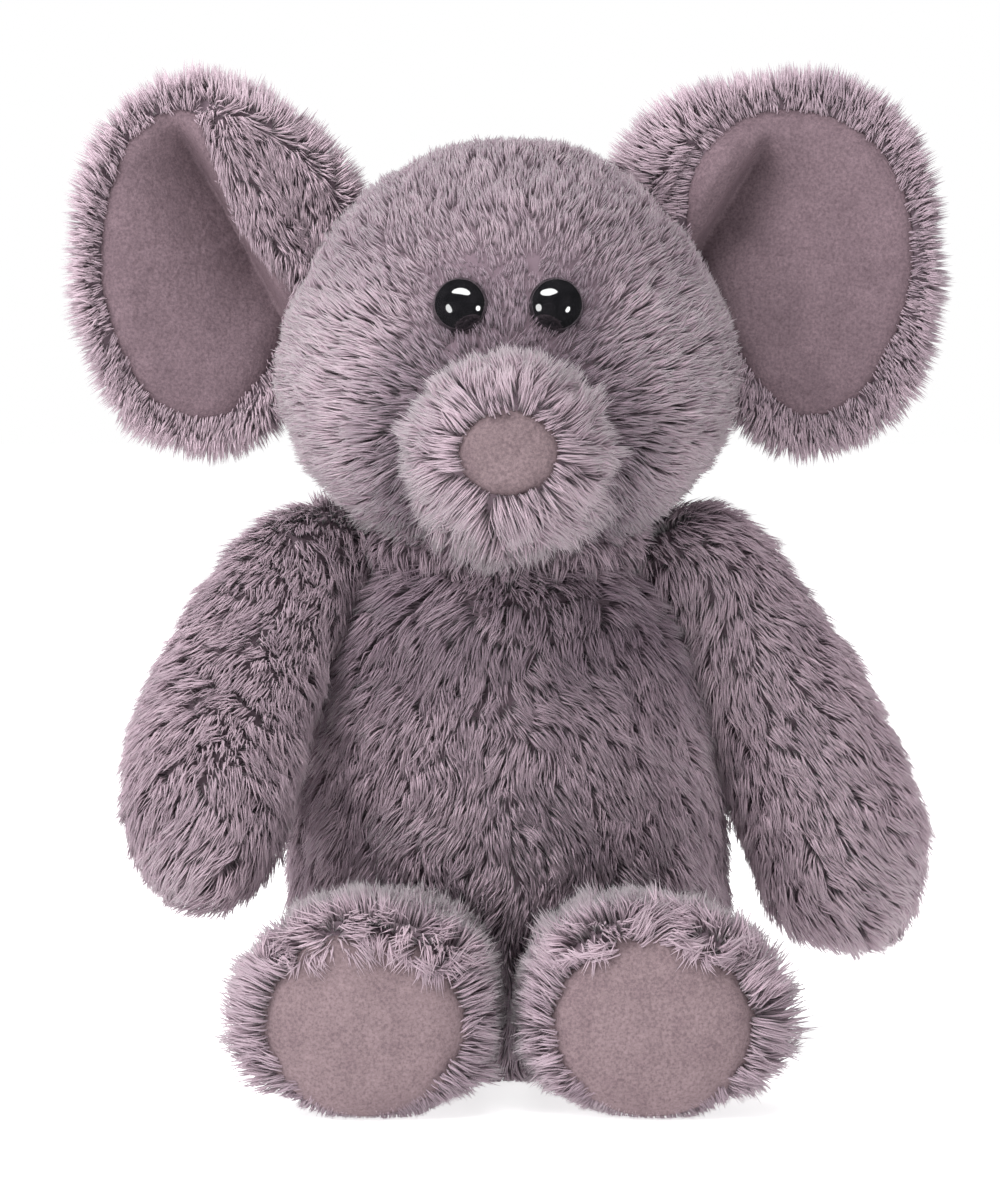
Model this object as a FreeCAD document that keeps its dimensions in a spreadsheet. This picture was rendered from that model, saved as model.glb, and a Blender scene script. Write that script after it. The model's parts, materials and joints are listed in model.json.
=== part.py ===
import FreeCAD, Part
import math
import os
import Sketcher
from FreeCAD import Placement, Rotation, Vector

# A seated plush elephant, in millimetres. The origin is on the ground under the middle of the seat,
# +Z is up, the toy looks along -Y, and its left side is +X. Every soft piece is a loft through a few
# ellipses. Pieces that move against each other meet at a gathered ball, so they turn without touching.

DRIVING_SIZES = {
    # fabric
    "skin": 1.2,                  # plush backing with its pressed-down pile
    "gap": 0.25,                  # clearance between one soft piece and the next
    "layer_gap": 0.1,             # clearance between two layers that lie flat on each other
    # torso
    "torso_height": 98.0,
    "torso_radius": 40.0,
    "pellet_bag_radius": 21.0,
    "pellet_bag_height": 16.0,
    "pellet_bag_seat": 4.0,
    "thread_radius": 0.4,
    "thread_length": 4.2,
    "closing_low": 41.0,
    "closing_high": 78.4,
    # head
    "head_bottom": 104.0,
    "head_height": 77.0,
    "head_half_width": 43.8,
    "head_depth_ratio": 0.91,
    "head_forward": 6.0,
    "neck_height": 101.0,
    "neck_ball": 13.0,
    # eyes
    "eye_radius": 5.5,
    "eye_dome": 3.6,
    "eye_apart": 17.4,
    "eye_height": 151.8,
    "eye_forward": 42.2,
    "shank_radius": 1.4,
    "shank_length": 8.0,
    "washer_radius": 5.0,
    "washer_thickness": 1.2,
    "washer_depth": 3.6,
    "washer_play": 0.05,
    "washer_room": 0.5,
    "eye_play": 0.3,
    "eye_seat_length": 12.0,
    # trunk
    "trunk_forward": 38.0,
    "trunk_height": 125.0,
    "trunk_length": 33.0,
    "trunk_radius": 16.0,
    "trunk_clearance": 1.5,
    "trunk_pad_half_width": 9.0,
    "trunk_pad_half_height": 7.8,
    "pad_thickness": 1.2,
    # ears
    "ear_side": 56.0,
    "ear_height": 160.0,
    "ear_half_width": 29.0,
    "ear_half_height": 36.0,
    "ear_behind": 3.0,
    "ear_back_behind": 2.1,
    "ear_back_thickness": 3.5,
    "ear_wadding_thickness": 2.2,
    "ear_lining_thickness": 1.8,
    "ear_rim": 8.0,
    "ear_roll_radius": 4.4,
    "ear_roll_length": 36.0,
    "ear_roll_side": 40.2,
    "ear_roll_height": 160.5,
    # arms
    "shoulder_side": 33.5,
    "shoulder_height": 99.5,
    "shoulder_ball": 9.5,
    "arm_length": 82.0,
    "arm_radius": 14.0,
    "left_arm_bow": 7.5,
    "right_arm_bow": 11.0,
    "hand_pouch_radius": 7.5,
    "hand_pouch_along": 0.72,
    # legs
    "hip_side": 22.0,
    "hip_forward": 31.0,
    "hip_height": 19.0,
    "hip_ball": 13.0,
    "leg_length": 46.0,
    "leg_half_width": 22.2,
    "leg_half_height": 18.5,
    "leg_splay": 5.0,
    "sole_half_width": 18.3,
    "sole_half_height": 16.3,
    "foot_pouch_radius": 9.0,
    "foot_pouch_along": 0.68,
    # tail
    "tail_behind": 41.3,
    "tail_height": 22.0,
    "tail_ball": 4.5,
    "tail_length": 24.0,
    "tail_radius": 3.6,
    "tuft_half_length": 6.8,
    "tuft_radius": 4.0,
}

# How the arms lie at rest, in degrees: out from the body, and forward from hanging.
ARM_OUT = {"left": 25.5, "right": 15.0}
ARM_FORWARD = {"left": 5.0, "right": 43.0}
# How the ear's seam leans from upright, and how each eye faces out and up, in degrees.
EAR_SEAM_LEAN = 22.5
EYE_YAW = 12.0
EYE_PITCH = 7.0
# How far below level the tail points, in degrees.
TAIL_DROOP = 18.0

# How many stitches close the back.
STITCHES = 9

SIDES = {"left": 1.0, "right": -1.0}

# Stations of each soft shape: how far along it, how wide there, and how far it bows to the side,
# each as a share of the length, the half width and the bow.
TORSO_STATIONS = [(0.0, 0.62, 0), (0.05, 0.76, 0), (0.14, 0.89, 0), (0.3, 0.985, 0), (0.45, 1.0, 0),
                  (0.62, 0.96, 0), (0.78, 0.86, 0), (0.9, 0.745, 0), (0.97, 0.62, 0), (1.0, 0.5, 0)]
HEAD_STATIONS = [(0.0, 0.22, 0), (0.05, 0.52, 0), (0.14, 0.78, 0), (0.26, 0.94, 0), (0.4, 1.0, 0),
                 (0.55, 0.965, 0), (0.7, 0.85, 0), (0.84, 0.66, 0), (0.94, 0.42, 0), (1.0, 0.17, 0)]
TRUNK_STATIONS = [(-0.46, 0.22, 0), (-0.36, 0.66, 0), (-0.18, 0.93, 0), (0.0, 1.0, 0), (0.18, 0.92, 0),
                  (0.36, 0.78, 0), (0.6, 0.8, 0), (0.82, 0.78, 0), (0.95, 0.7, 0), (1.0, 0.58, 0)]
ARM_STATIONS = [(0.035, 0.6, 0.4), (0.12, 0.75, 0.67), (0.24, 0.88, 0.87), (0.44, 0.95, 1.0),
                (0.67, 1.0, 1.0), (0.85, 0.86, 0.74), (0.955, 0.54, 0.53), (1.0, 0.2, 0.46)]
LEG_STATIONS = [(0.17, 0.42, 0.15), (0.24, 0.62, 0.22), (0.32, 0.77, 0.3), (0.48, 0.88, 0.5),
                (0.7, 0.97, 0.7), (0.87, 1.0, 0.9), (0.96, 0.95, 1.0), (1.0, 0.86, 1.0)]
TAIL_STATIONS = [(0.1, 0.95, 0), (0.4, 0.95, 0), (0.7, 0.85, 0), (0.92, 0.7, 0), (1.0, 0.45, 0)]

doc = FreeCAD.newDocument("stuffed_elephant")
sheet = doc.addObject("Spreadsheet::Sheet", "Sizes")
for row, (alias, value) in enumerate(DRIVING_SIZES.items(), start=1):
    sheet.set(f"A{row}", alias.replace("_", " "))
    sheet.set(f"B{row}", str(value))
    sheet.setAlias(f"B{row}", alias)
doc.recompute()

subparts = {}


def size(alias):
    """A driving size, read from the sheet."""
    return float(sheet.get(alias))


def bind(item, **formulas):
    """Bind properties to formulas of the sheet's cells; Base_x stands for Placement.Base.x."""
    for name, formula in formulas.items():
        name = name.replace("Base_", "Placement.Base.")
        item.setExpression(name, formula)
    return item


def keep(item, node):
    """Name a finished piece: its label is the node's name and its file's name."""
    item.Label = node
    subparts[node] = item
    return item


def loft(name, stations, length, half_width, ratio="1", bow="0", start="0", forward="0", inset="0"):
    """A closed solid through ellipses that are stacked along its own +Z, drawn in all round by inset."""
    rings = []
    first = stations[0][0]
    reach = stations[-1][0] - first
    for step, (along, share, side) in enumerate(stations):
        ring = doc.addObject("Part::Ellipse", f"{name}_ring{step}")
        done = (along - first) / reach
        bind(
            ring,
            MajorRadius=f"({half_width}) * {share} - ({inset})",
            MinorRadius=f"({half_width}) * {share} * ({ratio}) - ({inset})",
            Base_z=f"{start} + ({length}) * {along} + ({inset}) * {1 - 2 * done}",
            Base_x=f"({bow}) * {side}",
            Base_y=f"0 - ({forward})",
        )
        rings.append(ring)
    skinned = doc.addObject("Part::Loft", name)
    skinned.Sections = rings
    skinned.Solid = True
    skinned.Ruled = False
    return skinned


def ball(name, radius, side="0", forward="0", height="0"):
    """A sphere at a place given by formulas; forward is towards the toy's front, -Y."""
    item = doc.addObject("Part::Sphere", name)
    return bind(item, Radius=radius, Base_x=side, Base_y=f"0 - ({forward})", Base_z=height)


def cut(name, base, *tools):
    """Cut each tool from the base in turn."""
    for step, tool in enumerate(tools):
        item = doc.addObject("Part::Cut", f"{name}_cut{step}")
        item.Base = base
        item.Tool = tool
        base = item
    return base


def skin_and_filling(name, tools=(), filling_tools=None, **shape):
    """A hollow skin and the filling inside it, both opened by the same tools."""
    outer = loft(f"{name}_outer", **shape)
    inner = loft(f"{name}_inner", inset="Sizes.skin", **shape)
    filling = loft(f"{name}_filling", inset="Sizes.skin + Sizes.gap", **shape)
    if filling_tools is None:
        filling_tools = tools
    skin = cut(f"{name}_skin", outer, inner, *tools)
    return skin, cut(f"{name}_stuffing", filling, *filling_tools), outer


def place(item, base, rotation):
    item.Placement = Placement(base, rotation)
    return item


def origin_plane(body, role):
    return next(item for item in body.Origin.OriginFeatures if item.Role == role)


def new_sketch(body, name, role):
    sketch = body.newObject("Sketcher::SketchObject", name)
    sketch.AttachmentSupport = (origin_plane(body, role), [""])
    sketch.MapMode = "FlatFace"
    return sketch


def button_eye(node):
    """A domed button eye on a shank, turned about its own +Z, with its back at z = 0."""
    body = doc.addObject("PartDesign::Body", f"{node}_body")
    sketch = new_sketch(body, f"{node}_profile", "XZ_Plane")
    rim = size("eye_radius")
    rise = size("eye_dome")
    shank = size("shank_radius")
    depth = size("shank_length")
    crown = (rim ** 2 + rise ** 2) / (2 * rise)
    dome = Part.Circle(Vector(0, rise - crown, 0), Vector(0, 0, 1), crown)
    start = math.asin((crown - rise) / crown)
    sketch.addGeometry([
        Part.LineSegment(Vector(0, -depth, 0), Vector(shank, -depth, 0)),
        Part.LineSegment(Vector(shank, -depth, 0), Vector(shank, 0, 0)),
        Part.LineSegment(Vector(shank, 0, 0), Vector(rim, 0, 0)),
        Part.ArcOfCircle(dome, start, math.pi / 2),
        Part.LineSegment(Vector(0, rise, 0), Vector(0, -depth, 0)),
    ])
    joined = [(0, 2, 1, 1), (1, 2, 2, 1), (2, 2, 3, 1), (3, 2, 4, 1), (4, 2, 0, 1)]
    for ends in joined:
        sketch.addConstraint(Sketcher.Constraint("Coincident", *ends))
    sketch.addConstraint(Sketcher.Constraint("Horizontal", 0))
    sketch.addConstraint(Sketcher.Constraint("Vertical", 1))
    sketch.addConstraint(Sketcher.Constraint("PointOnObject", 2, 1, -1))
    sketch.addConstraint(Sketcher.Constraint("PointOnObject", 2, 2, -1))
    sketch.addConstraint(Sketcher.Constraint("PointOnObject", 3, 3, -2))
    sketch.addConstraint(Sketcher.Constraint("PointOnObject", 4, 1, -2))
    sketch.addConstraint(Sketcher.Constraint("PointOnObject", 4, 2, -2))
    for name, value, kind, geometry, point, formula in (
        ("shank_radius", shank, "DistanceX", 1, 1, "Sizes.shank_radius"),
        ("eye_radius", rim, "DistanceX", 2, 2, "Sizes.eye_radius"),
        ("eye_dome", rise, "DistanceY", 4, 1, "Sizes.eye_dome"),
        ("shank_length", -depth, "DistanceY", 4, 2, "-Sizes.shank_length"),
    ):
        index = sketch.addConstraint(Sketcher.Constraint(kind, -1, 1, geometry, point, value))
        sketch.renameConstraint(index, name)
        sketch.setExpression(f"Constraints.{name}", formula)
    turned = body.newObject("PartDesign::Revolution", f"{node}_turned")
    turned.Profile = sketch
    turned.ReferenceAxis = (sketch, ["V_Axis"])
    turned.Angle = 360
    return body


def lock_washer(node):
    """A flat ring that grips an eye's shank, standing on its own XY plane."""
    body = doc.addObject("PartDesign::Body", f"{node}_body")
    sketch = new_sketch(body, f"{node}_profile", "XY_Plane")
    rings = (("rim", "Sizes.washer_radius"), ("bore", "Sizes.shank_radius + Sizes.washer_play"))
    for index, (name, formula) in enumerate(rings):
        radius = size("washer_radius") if name == "rim" else size("shank_radius") + size("washer_play")
        sketch.addGeometry(Part.Circle(Vector(0, 0, 0), Vector(0, 0, 1), radius))
        sketch.addConstraint(Sketcher.Constraint("Coincident", index, 3, -1, 1))
        number = sketch.addConstraint(Sketcher.Constraint("Radius", index, radius))
        sketch.renameConstraint(number, name)
        sketch.setExpression(f"Constraints.{name}", formula)
    ring = body.newObject("PartDesign::Pad", f"{node}_ring")
    ring.Profile = sketch
    ring.setExpression("Length", "Sizes.washer_thickness")
    return body


def plate(name, half_width, half_height, thickness):
    """An elliptical plate in its own XY plane, from z = 0 up; the longer half comes first."""
    edge = doc.addObject("Part::Ellipse", f"{name}_edge")
    bind(edge, MajorRadius=half_width, MinorRadius=half_height)
    slab = doc.addObject("Part::Extrusion", name)
    slab.Base = edge
    slab.DirMode = "Custom"
    slab.Dir = Vector(0, 0, 1)
    slab.Solid = True
    slab.setExpression("LengthFwd", thickness)
    return slab


# Balls and sockets -----------------------------------------------------------------------------

JOINT_BALLS = {
    "neck": ("neck_ball", "0", "0", "Sizes.neck_height"),
    "tail": ("tail_ball", "0", "0 - Sizes.tail_behind", "Sizes.tail_height"),
}
for side, sign in SIDES.items():
    JOINT_BALLS[f"{side}_shoulder"] = (
        "shoulder_ball", f"{sign} * Sizes.shoulder_side", "0", "Sizes.shoulder_height")
    JOINT_BALLS[f"{side}_hip"] = (
        "hip_ball", f"{sign} * Sizes.hip_side", "Sizes.hip_forward", "Sizes.hip_height")


def gather(joint):
    """The gathered, stuffed and tied ball of plush on which a limb turns."""
    radius, side, forward, height = JOINT_BALLS[joint]
    return keep(ball(f"{joint}_ball", f"Sizes.{radius}", side, forward, height), f"{joint}_gather")


def socket(joint, user):
    """The hollow that a neighbour leaves around a gathered ball."""
    radius, side, forward, height = JOINT_BALLS[joint]
    return ball(f"{joint}_socket_in_{user}", f"Sizes.{radius} + Sizes.gap", side, forward, height)


def own_socket(joint, user):
    """The same hollow in a limb's own frame, whose origin is the ball's centre."""
    return ball(f"{joint}_socket_in_{user}", f"Sizes.{JOINT_BALLS[joint][0]} + Sizes.gap")


# Torso -----------------------------------------------------------------------------------------

def make_torso():
    bag = doc.addObject("Part::Ellipsoid", "pellet_bag")
    hollow = doc.addObject("Part::Ellipsoid", "pellet_bag_hollow")
    for item, extra in ((bag, "0"), (hollow, "Sizes.gap")):
        bind(
            item,
            Radius1=f"Sizes.pellet_bag_height / 2 + {extra}",
            Radius2=f"Sizes.pellet_bag_radius + {extra}",
            Radius3=f"Sizes.pellet_bag_radius + {extra}",
            Base_z="Sizes.pellet_bag_height / 2 + Sizes.pellet_bag_seat",
        )
    keep(bag, "seat_pellet_bag")
    skin_tools = [socket(joint, "torso") for joint in JOINT_BALLS]
    # The tail's ball reaches into the skin only.
    filling_tools = [socket(joint, "torso_filling") for joint in JOINT_BALLS if joint != "tail"]
    skin, filling, outer = skin_and_filling(
        "torso",
        tools=skin_tools,
        filling_tools=filling_tools + [hollow],
        stations=TORSO_STATIONS,
        length="Sizes.torso_height",
        half_width="Sizes.torso_radius",
    )
    keep(skin, "torso_skin")
    keep(filling, "torso_stuffing")
    return outer


def make_closing_stitches(torso):
    """Ladder stitches that close the back, each a short thread just clear of the skin."""
    threads = []
    low = size("closing_low")
    rise = (size("closing_high") - low) / (STITCHES - 1)
    for step in range(STITCHES):
        height = low + rise * step
        probe = Part.LineSegment(Vector(0, 0, height), Vector(0, 2 * size("torso_radius"), height))
        back = torso.Shape.section(probe.toShape()).Vertexes[0].Point.y
        thread = doc.addObject("Part::Cylinder", f"thread{step}")
        bind(thread, Radius="Sizes.thread_radius", Height="Sizes.thread_length")
        clear = back + size("thread_radius") + size("layer_gap")
        place(thread, Vector(-size("thread_length") / 2, clear, height), Rotation(Vector(0, 1, 0), 90))
        threads.append(thread)
    ladder = doc.addObject("Part::Compound", "ladder")
    ladder.Links = threads
    keep(ladder, "back_closing_stitches")


# Head ------------------------------------------------------------------------------------------

def eye_placement(sign, depth=0.0):
    """Where an eye's back sits on the face, or a place that far behind it."""
    yaw = math.radians(EYE_YAW)
    pitch = math.radians(EYE_PITCH)
    facing = Vector(sign * math.sin(yaw) * math.cos(pitch), -math.cos(yaw) * math.cos(pitch), math.sin(pitch))
    seat = Vector(sign * size("eye_apart") / 2, -size("eye_forward"), size("eye_height"))
    return Placement(seat - facing * depth, Rotation(Vector(0, 0, 1), facing))


def eye_tool(name, radius, depth, length, sign):
    """A cylinder along an eye's shank, starting that far behind the eye's back."""
    tool = doc.addObject("Part::Cylinder", name)
    bind(tool, Radius=radius)
    tool.Height = length
    tool.Placement = eye_placement(sign, depth)
    return tool


def ear_roll(name, sign, extra):
    """The rolled seam along which an ear is sewn to the head."""
    roll = doc.addObject("Part::Cylinder", name)
    bind(roll, Radius=f"Sizes.ear_roll_radius + {extra}", Height=f"Sizes.ear_roll_length + 2 * ({extra})")
    lean = Rotation(Vector(0, 1, 0), -sign * EAR_SEAM_LEAN)
    middle = Vector(sign * size("ear_roll_side"), size("ear_behind"), size("ear_roll_height"))
    half = lean.multVec(Vector(0, 0, size("ear_roll_length") / 2 + extra))
    return place(roll, middle - half, lean)


def make_head():
    room = size("eye_seat_length")
    washer_front = size("washer_depth") - size("washer_thickness") - size("layer_gap")
    skin_tools = [socket("neck", "head")]
    filling_tools = [socket("neck", "head_filling")]
    trunk_place = ("0", "Sizes.trunk_forward", "Sizes.trunk_height")
    trunk_room = "Sizes.trunk_radius + Sizes.trunk_clearance"
    skin_tools.append(ball("trunk_socket", trunk_room, *trunk_place))
    filling_tools.append(ball("trunk_socket_in_filling", trunk_room, *trunk_place))
    for side, sign in SIDES.items():
        eye = keep(button_eye(f"{side}_eye"), f"{side}_eye")
        eye.Placement = eye_placement(sign)
        washer = keep(lock_washer(f"{side}_eye_washer"), f"{side}_eye_washer")
        washer.Placement = eye_placement(sign, size("washer_depth"))
        # The skin is gripped between the eye, which is sunk in it, and the washer behind it.
        skin_tools += [
            eye_tool(f"{side}_eye_seat", "Sizes.eye_radius + Sizes.eye_play", size("layer_gap"), room, sign),
            eye_tool(f"{side}_shank_hole", "Sizes.shank_radius + Sizes.eye_play", room, 2 * room, sign),
            eye_tool(f"{side}_washer_seat", "Sizes.washer_radius + Sizes.washer_room", room,
                     room - washer_front, sign),
            ear_roll(f"{side}_ear_seat", sign, size("gap")),
        ]
        filling_tools.append(
            eye_tool(f"{side}_washer_room", "Sizes.washer_radius + Sizes.washer_room", room, 2 * room, sign))
    skin, filling, _ = skin_and_filling(
        "head",
        tools=skin_tools,
        filling_tools=filling_tools,
        stations=HEAD_STATIONS,
        length="Sizes.head_height",
        half_width="Sizes.head_half_width",
        ratio="Sizes.head_depth_ratio",
        start="Sizes.head_bottom",
        forward="Sizes.head_forward",
    )
    keep(skin, "head_skin")
    keep(filling, "head_stuffing")


def make_trunk():
    skin, filling, _ = skin_and_filling(
        "trunk",
        stations=TRUNK_STATIONS,
        length="Sizes.trunk_length",
        half_width="Sizes.trunk_radius",
    )
    pad = plate("trunk_pad", "Sizes.trunk_pad_half_width", "Sizes.trunk_pad_half_height", "Sizes.pad_thickness")
    forward = Rotation(Vector(1, 0, 0), 90)
    root = Vector(0, -size("trunk_forward"), size("trunk_height"))
    tip = root - Vector(0, size("trunk_length") + size("layer_gap"), 0)
    place(keep(skin, "trunk_skin"), root, forward)
    place(keep(filling, "trunk_stuffing"), root, forward)
    place(keep(pad, "trunk_tip_pad"), tip, forward)


# Ears ------------------------------------------------------------------------------------------

def head_side_of_ear(name, sign):
    """Everything on the head's side of the ear's seam."""
    block = doc.addObject("Part::Box", name)
    reach = 120.0
    block.Length = reach
    block.Width = reach
    block.Height = reach
    lean = Rotation(Vector(0, 1, 0), -sign * EAR_SEAM_LEAN)
    middle = Vector(sign * size("ear_roll_side"), size("ear_behind"), size("ear_roll_height"))
    corner = Vector(-reach if sign > 0 else 0, -reach / 2, -reach / 2)
    return place(block, middle + lean.multVec(corner), lean)


def make_ear(side, sign):
    """Plush back with its rolled seam, wadding, and velour lining, stacked from back to front."""
    layers = (
        ("ear_back", "ear_back_thickness", "0"),
        ("ear_wadding", "ear_wadding_thickness", "Sizes.ear_rim / 2"),
        ("ear_lining", "ear_lining_thickness", "Sizes.ear_rim"),
    )
    back = size("ear_behind") + size("ear_back_behind")
    for kind, thickness, rim in layers:
        node = f"{side}_{kind}"
        slab = plate(
            node,
            f"Sizes.ear_half_height - {rim}",
            f"Sizes.ear_half_width - {rim}",
            f"Sizes.{thickness}",
        )
        upright = Rotation(Vector(1, 0, 0), 90) * Rotation(Vector(0, 0, 1), 90)
        place(slab, Vector(sign * size("ear_side"), back, size("ear_height")), upright)
        outer_part = cut(node, slab, head_side_of_ear(f"{node}_trim", sign))
        if kind == "ear_back":
            piece = doc.addObject("Part::Fuse", f"{node}_with_roll")
            piece.Base = outer_part
            piece.Tool = ear_roll(f"{side}_ear_roll", sign, 0.0)
        else:
            piece = cut(f"{node}_clear", outer_part, ear_roll(f"{node}_clearance", sign, size("gap")))
        keep(piece, node)
        back -= size(thickness) + size("layer_gap")


# Limbs -----------------------------------------------------------------------------------------

def pouch_and_hollow(name, radius, along, bow):
    """A round pouch of pellets inside a limb, and the hollow it needs in the filling."""
    pouch = doc.addObject("Part::Sphere", name)
    hollow = doc.addObject("Part::Sphere", f"{name}_hollow")
    for item, extra in ((pouch, "0"), (hollow, "Sizes.gap")):
        bind(item, Radius=f"{radius} + {extra}", Base_z=along, Base_x=bow)
    return pouch, hollow


def make_arm(side, sign):
    gather(f"{side}_shoulder")
    bow = f"{sign} * Sizes.{side}_arm_bow"
    along = "Sizes.hand_pouch_along * Sizes.arm_length"
    pouch, hollow = pouch_and_hollow(f"{side}_pouch", "Sizes.hand_pouch_radius", along, bow)
    skin, filling, _ = skin_and_filling(
        f"{side}_arm",
        tools=[own_socket(f"{side}_shoulder", "arm")],
        filling_tools=[own_socket(f"{side}_shoulder", "arm_filling"), hollow],
        stations=ARM_STATIONS,
        length="Sizes.arm_length",
        half_width="Sizes.arm_radius",
        bow=bow,
    )
    root = Vector(sign * size("shoulder_side"), 0, size("shoulder_height"))
    # The limb's own +Z points down the arm: over, out from the body, then forward.
    turn = (
        Rotation(Vector(1, 0, 0), -ARM_FORWARD[side])
        * Rotation(Vector(0, 1, 0), -sign * ARM_OUT[side])
        * Rotation(Vector(1, 0, 0), 180)
    )
    for piece, kind in ((skin, "arm_skin"), (filling, "arm_stuffing")):
        place(keep(piece, f"{side}_{kind}"), root, turn)
    held = doc.addObject("Part::Compound", f"{side}_held_pouch")
    held.Links = [pouch]
    place(keep(held, f"{side}_hand_pellets"), root, turn)


def make_leg(side, sign):
    gather(f"{side}_hip")
    bow = f"{sign} * Sizes.leg_splay"
    along = "Sizes.foot_pouch_along * Sizes.leg_length"
    aside = f"Sizes.foot_pouch_along * ({bow})"
    pouch, hollow = pouch_and_hollow(f"{side}_foot", "Sizes.foot_pouch_radius", along, aside)
    skin, filling, _ = skin_and_filling(
        f"{side}_leg",
        tools=[own_socket(f"{side}_hip", "leg")],
        filling_tools=[own_socket(f"{side}_hip", "leg_filling"), hollow],
        stations=LEG_STATIONS,
        length="Sizes.leg_length",
        half_width="Sizes.leg_half_width",
        ratio="Sizes.leg_half_height / Sizes.leg_half_width",
        bow=bow,
    )
    pad = plate(f"{side}_pad", "Sizes.sole_half_width", "Sizes.sole_half_height", "Sizes.pad_thickness")
    forward = Rotation(Vector(1, 0, 0), 90)
    root = Vector(sign * size("hip_side"), -size("hip_forward"), size("hip_height"))
    sole = root + Vector(sign * size("leg_splay"), -size("leg_length") - size("layer_gap"), 0)
    held = doc.addObject("Part::Compound", f"{side}_held_foot_pouch")
    held.Links = [pouch]
    for piece, kind in ((skin, "leg_skin"), (filling, "leg_stuffing"), (held, "foot_pellets")):
        place(keep(piece, f"{side}_{kind}"), root, forward)
    place(keep(pad, f"{side}_sole_pad"), sole, forward)


def make_tail():
    """A thin plush tube on a gathered root, with a tuft of pile at its end."""
    tube = loft("tail_tube", TAIL_STATIONS, "Sizes.tail_length", "Sizes.tail_radius")
    root = ball("tail_root", "Sizes.tail_ball")
    tail = doc.addObject("Part::Fuse", "tail_whole")
    tail.Base = tube
    tail.Tool = root
    tuft = doc.addObject("Part::Ellipsoid", "tuft")
    bind(
        tuft,
        Radius1="Sizes.tuft_half_length",
        Radius2="Sizes.tuft_radius",
        Radius3="Sizes.tuft_radius",
        Base_z="Sizes.tail_length + Sizes.tuft_half_length + Sizes.layer_gap",
    )
    held = doc.addObject("Part::Compound", "held_tuft")
    held.Links = [tuft]
    backward = Rotation(Vector(1, 0, 0), -90 - TAIL_DROOP)
    place_of_root = Vector(0, size("tail_behind"), size("tail_height"))
    place(keep(tail, "tail_skin"), place_of_root, backward)
    place(keep(held, "tail_tuft"), place_of_root, backward)


# The whole toy ---------------------------------------------------------------------------------

torso_outer = make_torso()
gather("neck")
make_head()
make_trunk()
for side, sign in SIDES.items():
    make_ear(side, sign)
    make_arm(side, sign)
    make_leg(side, sign)
make_tail()
doc.recompute()
make_closing_stitches(torso_outer)
doc.recompute()

for item in doc.Objects:
    if "Invalid" in item.State or "Error" in item.State:
        raise RuntimeError(f"{item.Name} failed: {item.State}")
os.makedirs("parts", exist_ok=True)
for node, item in subparts.items():
    if item.Shape.isNull() or not item.Shape.isValid():
        raise RuntimeError(f"{node} has no valid shape")
    item.Shape.exportStep(os.path.join("parts", f"{node}.step"))
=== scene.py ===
import json
import math
from dataclasses import dataclass
from typing import Callable, Optional

import bpy
import numpy as np
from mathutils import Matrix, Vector
from mathutils.kdtree import KDTree


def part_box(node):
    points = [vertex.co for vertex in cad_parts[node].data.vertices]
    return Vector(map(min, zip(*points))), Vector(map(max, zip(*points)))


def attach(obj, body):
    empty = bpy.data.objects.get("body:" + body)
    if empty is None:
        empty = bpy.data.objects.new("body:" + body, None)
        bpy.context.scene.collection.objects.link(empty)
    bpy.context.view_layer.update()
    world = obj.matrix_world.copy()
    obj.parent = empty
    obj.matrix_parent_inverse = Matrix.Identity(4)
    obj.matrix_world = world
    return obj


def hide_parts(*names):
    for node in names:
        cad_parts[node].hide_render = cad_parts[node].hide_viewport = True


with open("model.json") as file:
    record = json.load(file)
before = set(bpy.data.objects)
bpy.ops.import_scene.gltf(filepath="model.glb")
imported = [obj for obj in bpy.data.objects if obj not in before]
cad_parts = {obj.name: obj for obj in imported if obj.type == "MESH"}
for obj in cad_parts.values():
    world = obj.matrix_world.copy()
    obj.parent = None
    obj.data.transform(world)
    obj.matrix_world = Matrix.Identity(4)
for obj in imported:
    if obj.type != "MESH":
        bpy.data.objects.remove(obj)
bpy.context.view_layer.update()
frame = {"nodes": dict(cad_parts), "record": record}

# A seated plush elephant. Lengths are in millimetres until a mesh is made; +Z is up, -Y is the front.
MM = 0.001
SIDES = {"left": 1.0, "right": -1.0}
LOCK_SHARE = 1.0
UV_NAME = "OFBake"
SCENE = bpy.context.scene
LOWEST = 0.15          # mm of clearance kept between any piece and the ground


# Places from the frame ------------------------------------

def node_box(node):
    low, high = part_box(node)
    return np.array(low) / MM, np.array(high) / MM


def middle(node):
    low, high = node_box(node)
    return (low + high) / 2


def half_size(node):
    low, high = node_box(node)
    return (high - low) / 2


JOINTS = {joint["name"]: joint for joint in frame["record"]["behaviour"]["joints"]}


def pivot(joint):
    return np.array(JOINTS[joint]["pos_m"]) / MM


def unit(v):
    return v / np.maximum(np.linalg.norm(v, axis=-1, keepdims=True), 1e-9)


def smooth(low, high, value):
    t = np.clip((value - low) / (high - low), 0.0, 1.0)
    return t * t * (3 - 2 * t)


# Smooth noise ---------------------------------------------

def lattice(ix, iy, iz, seed):
    """A repeatable value between -1 and 1 for each lattice point."""
    h = (ix * 374761393 + iy * 668265263 + iz * 2147483647 + seed * 1274126177) & 0xFFFFFFFF
    h = ((h ^ (h >> 13)) * 1274126177) & 0xFFFFFFFF
    h = h ^ (h >> 16)
    return (h & 0xFFFFFF) / float(0x7FFFFF) - 1.0


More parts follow.
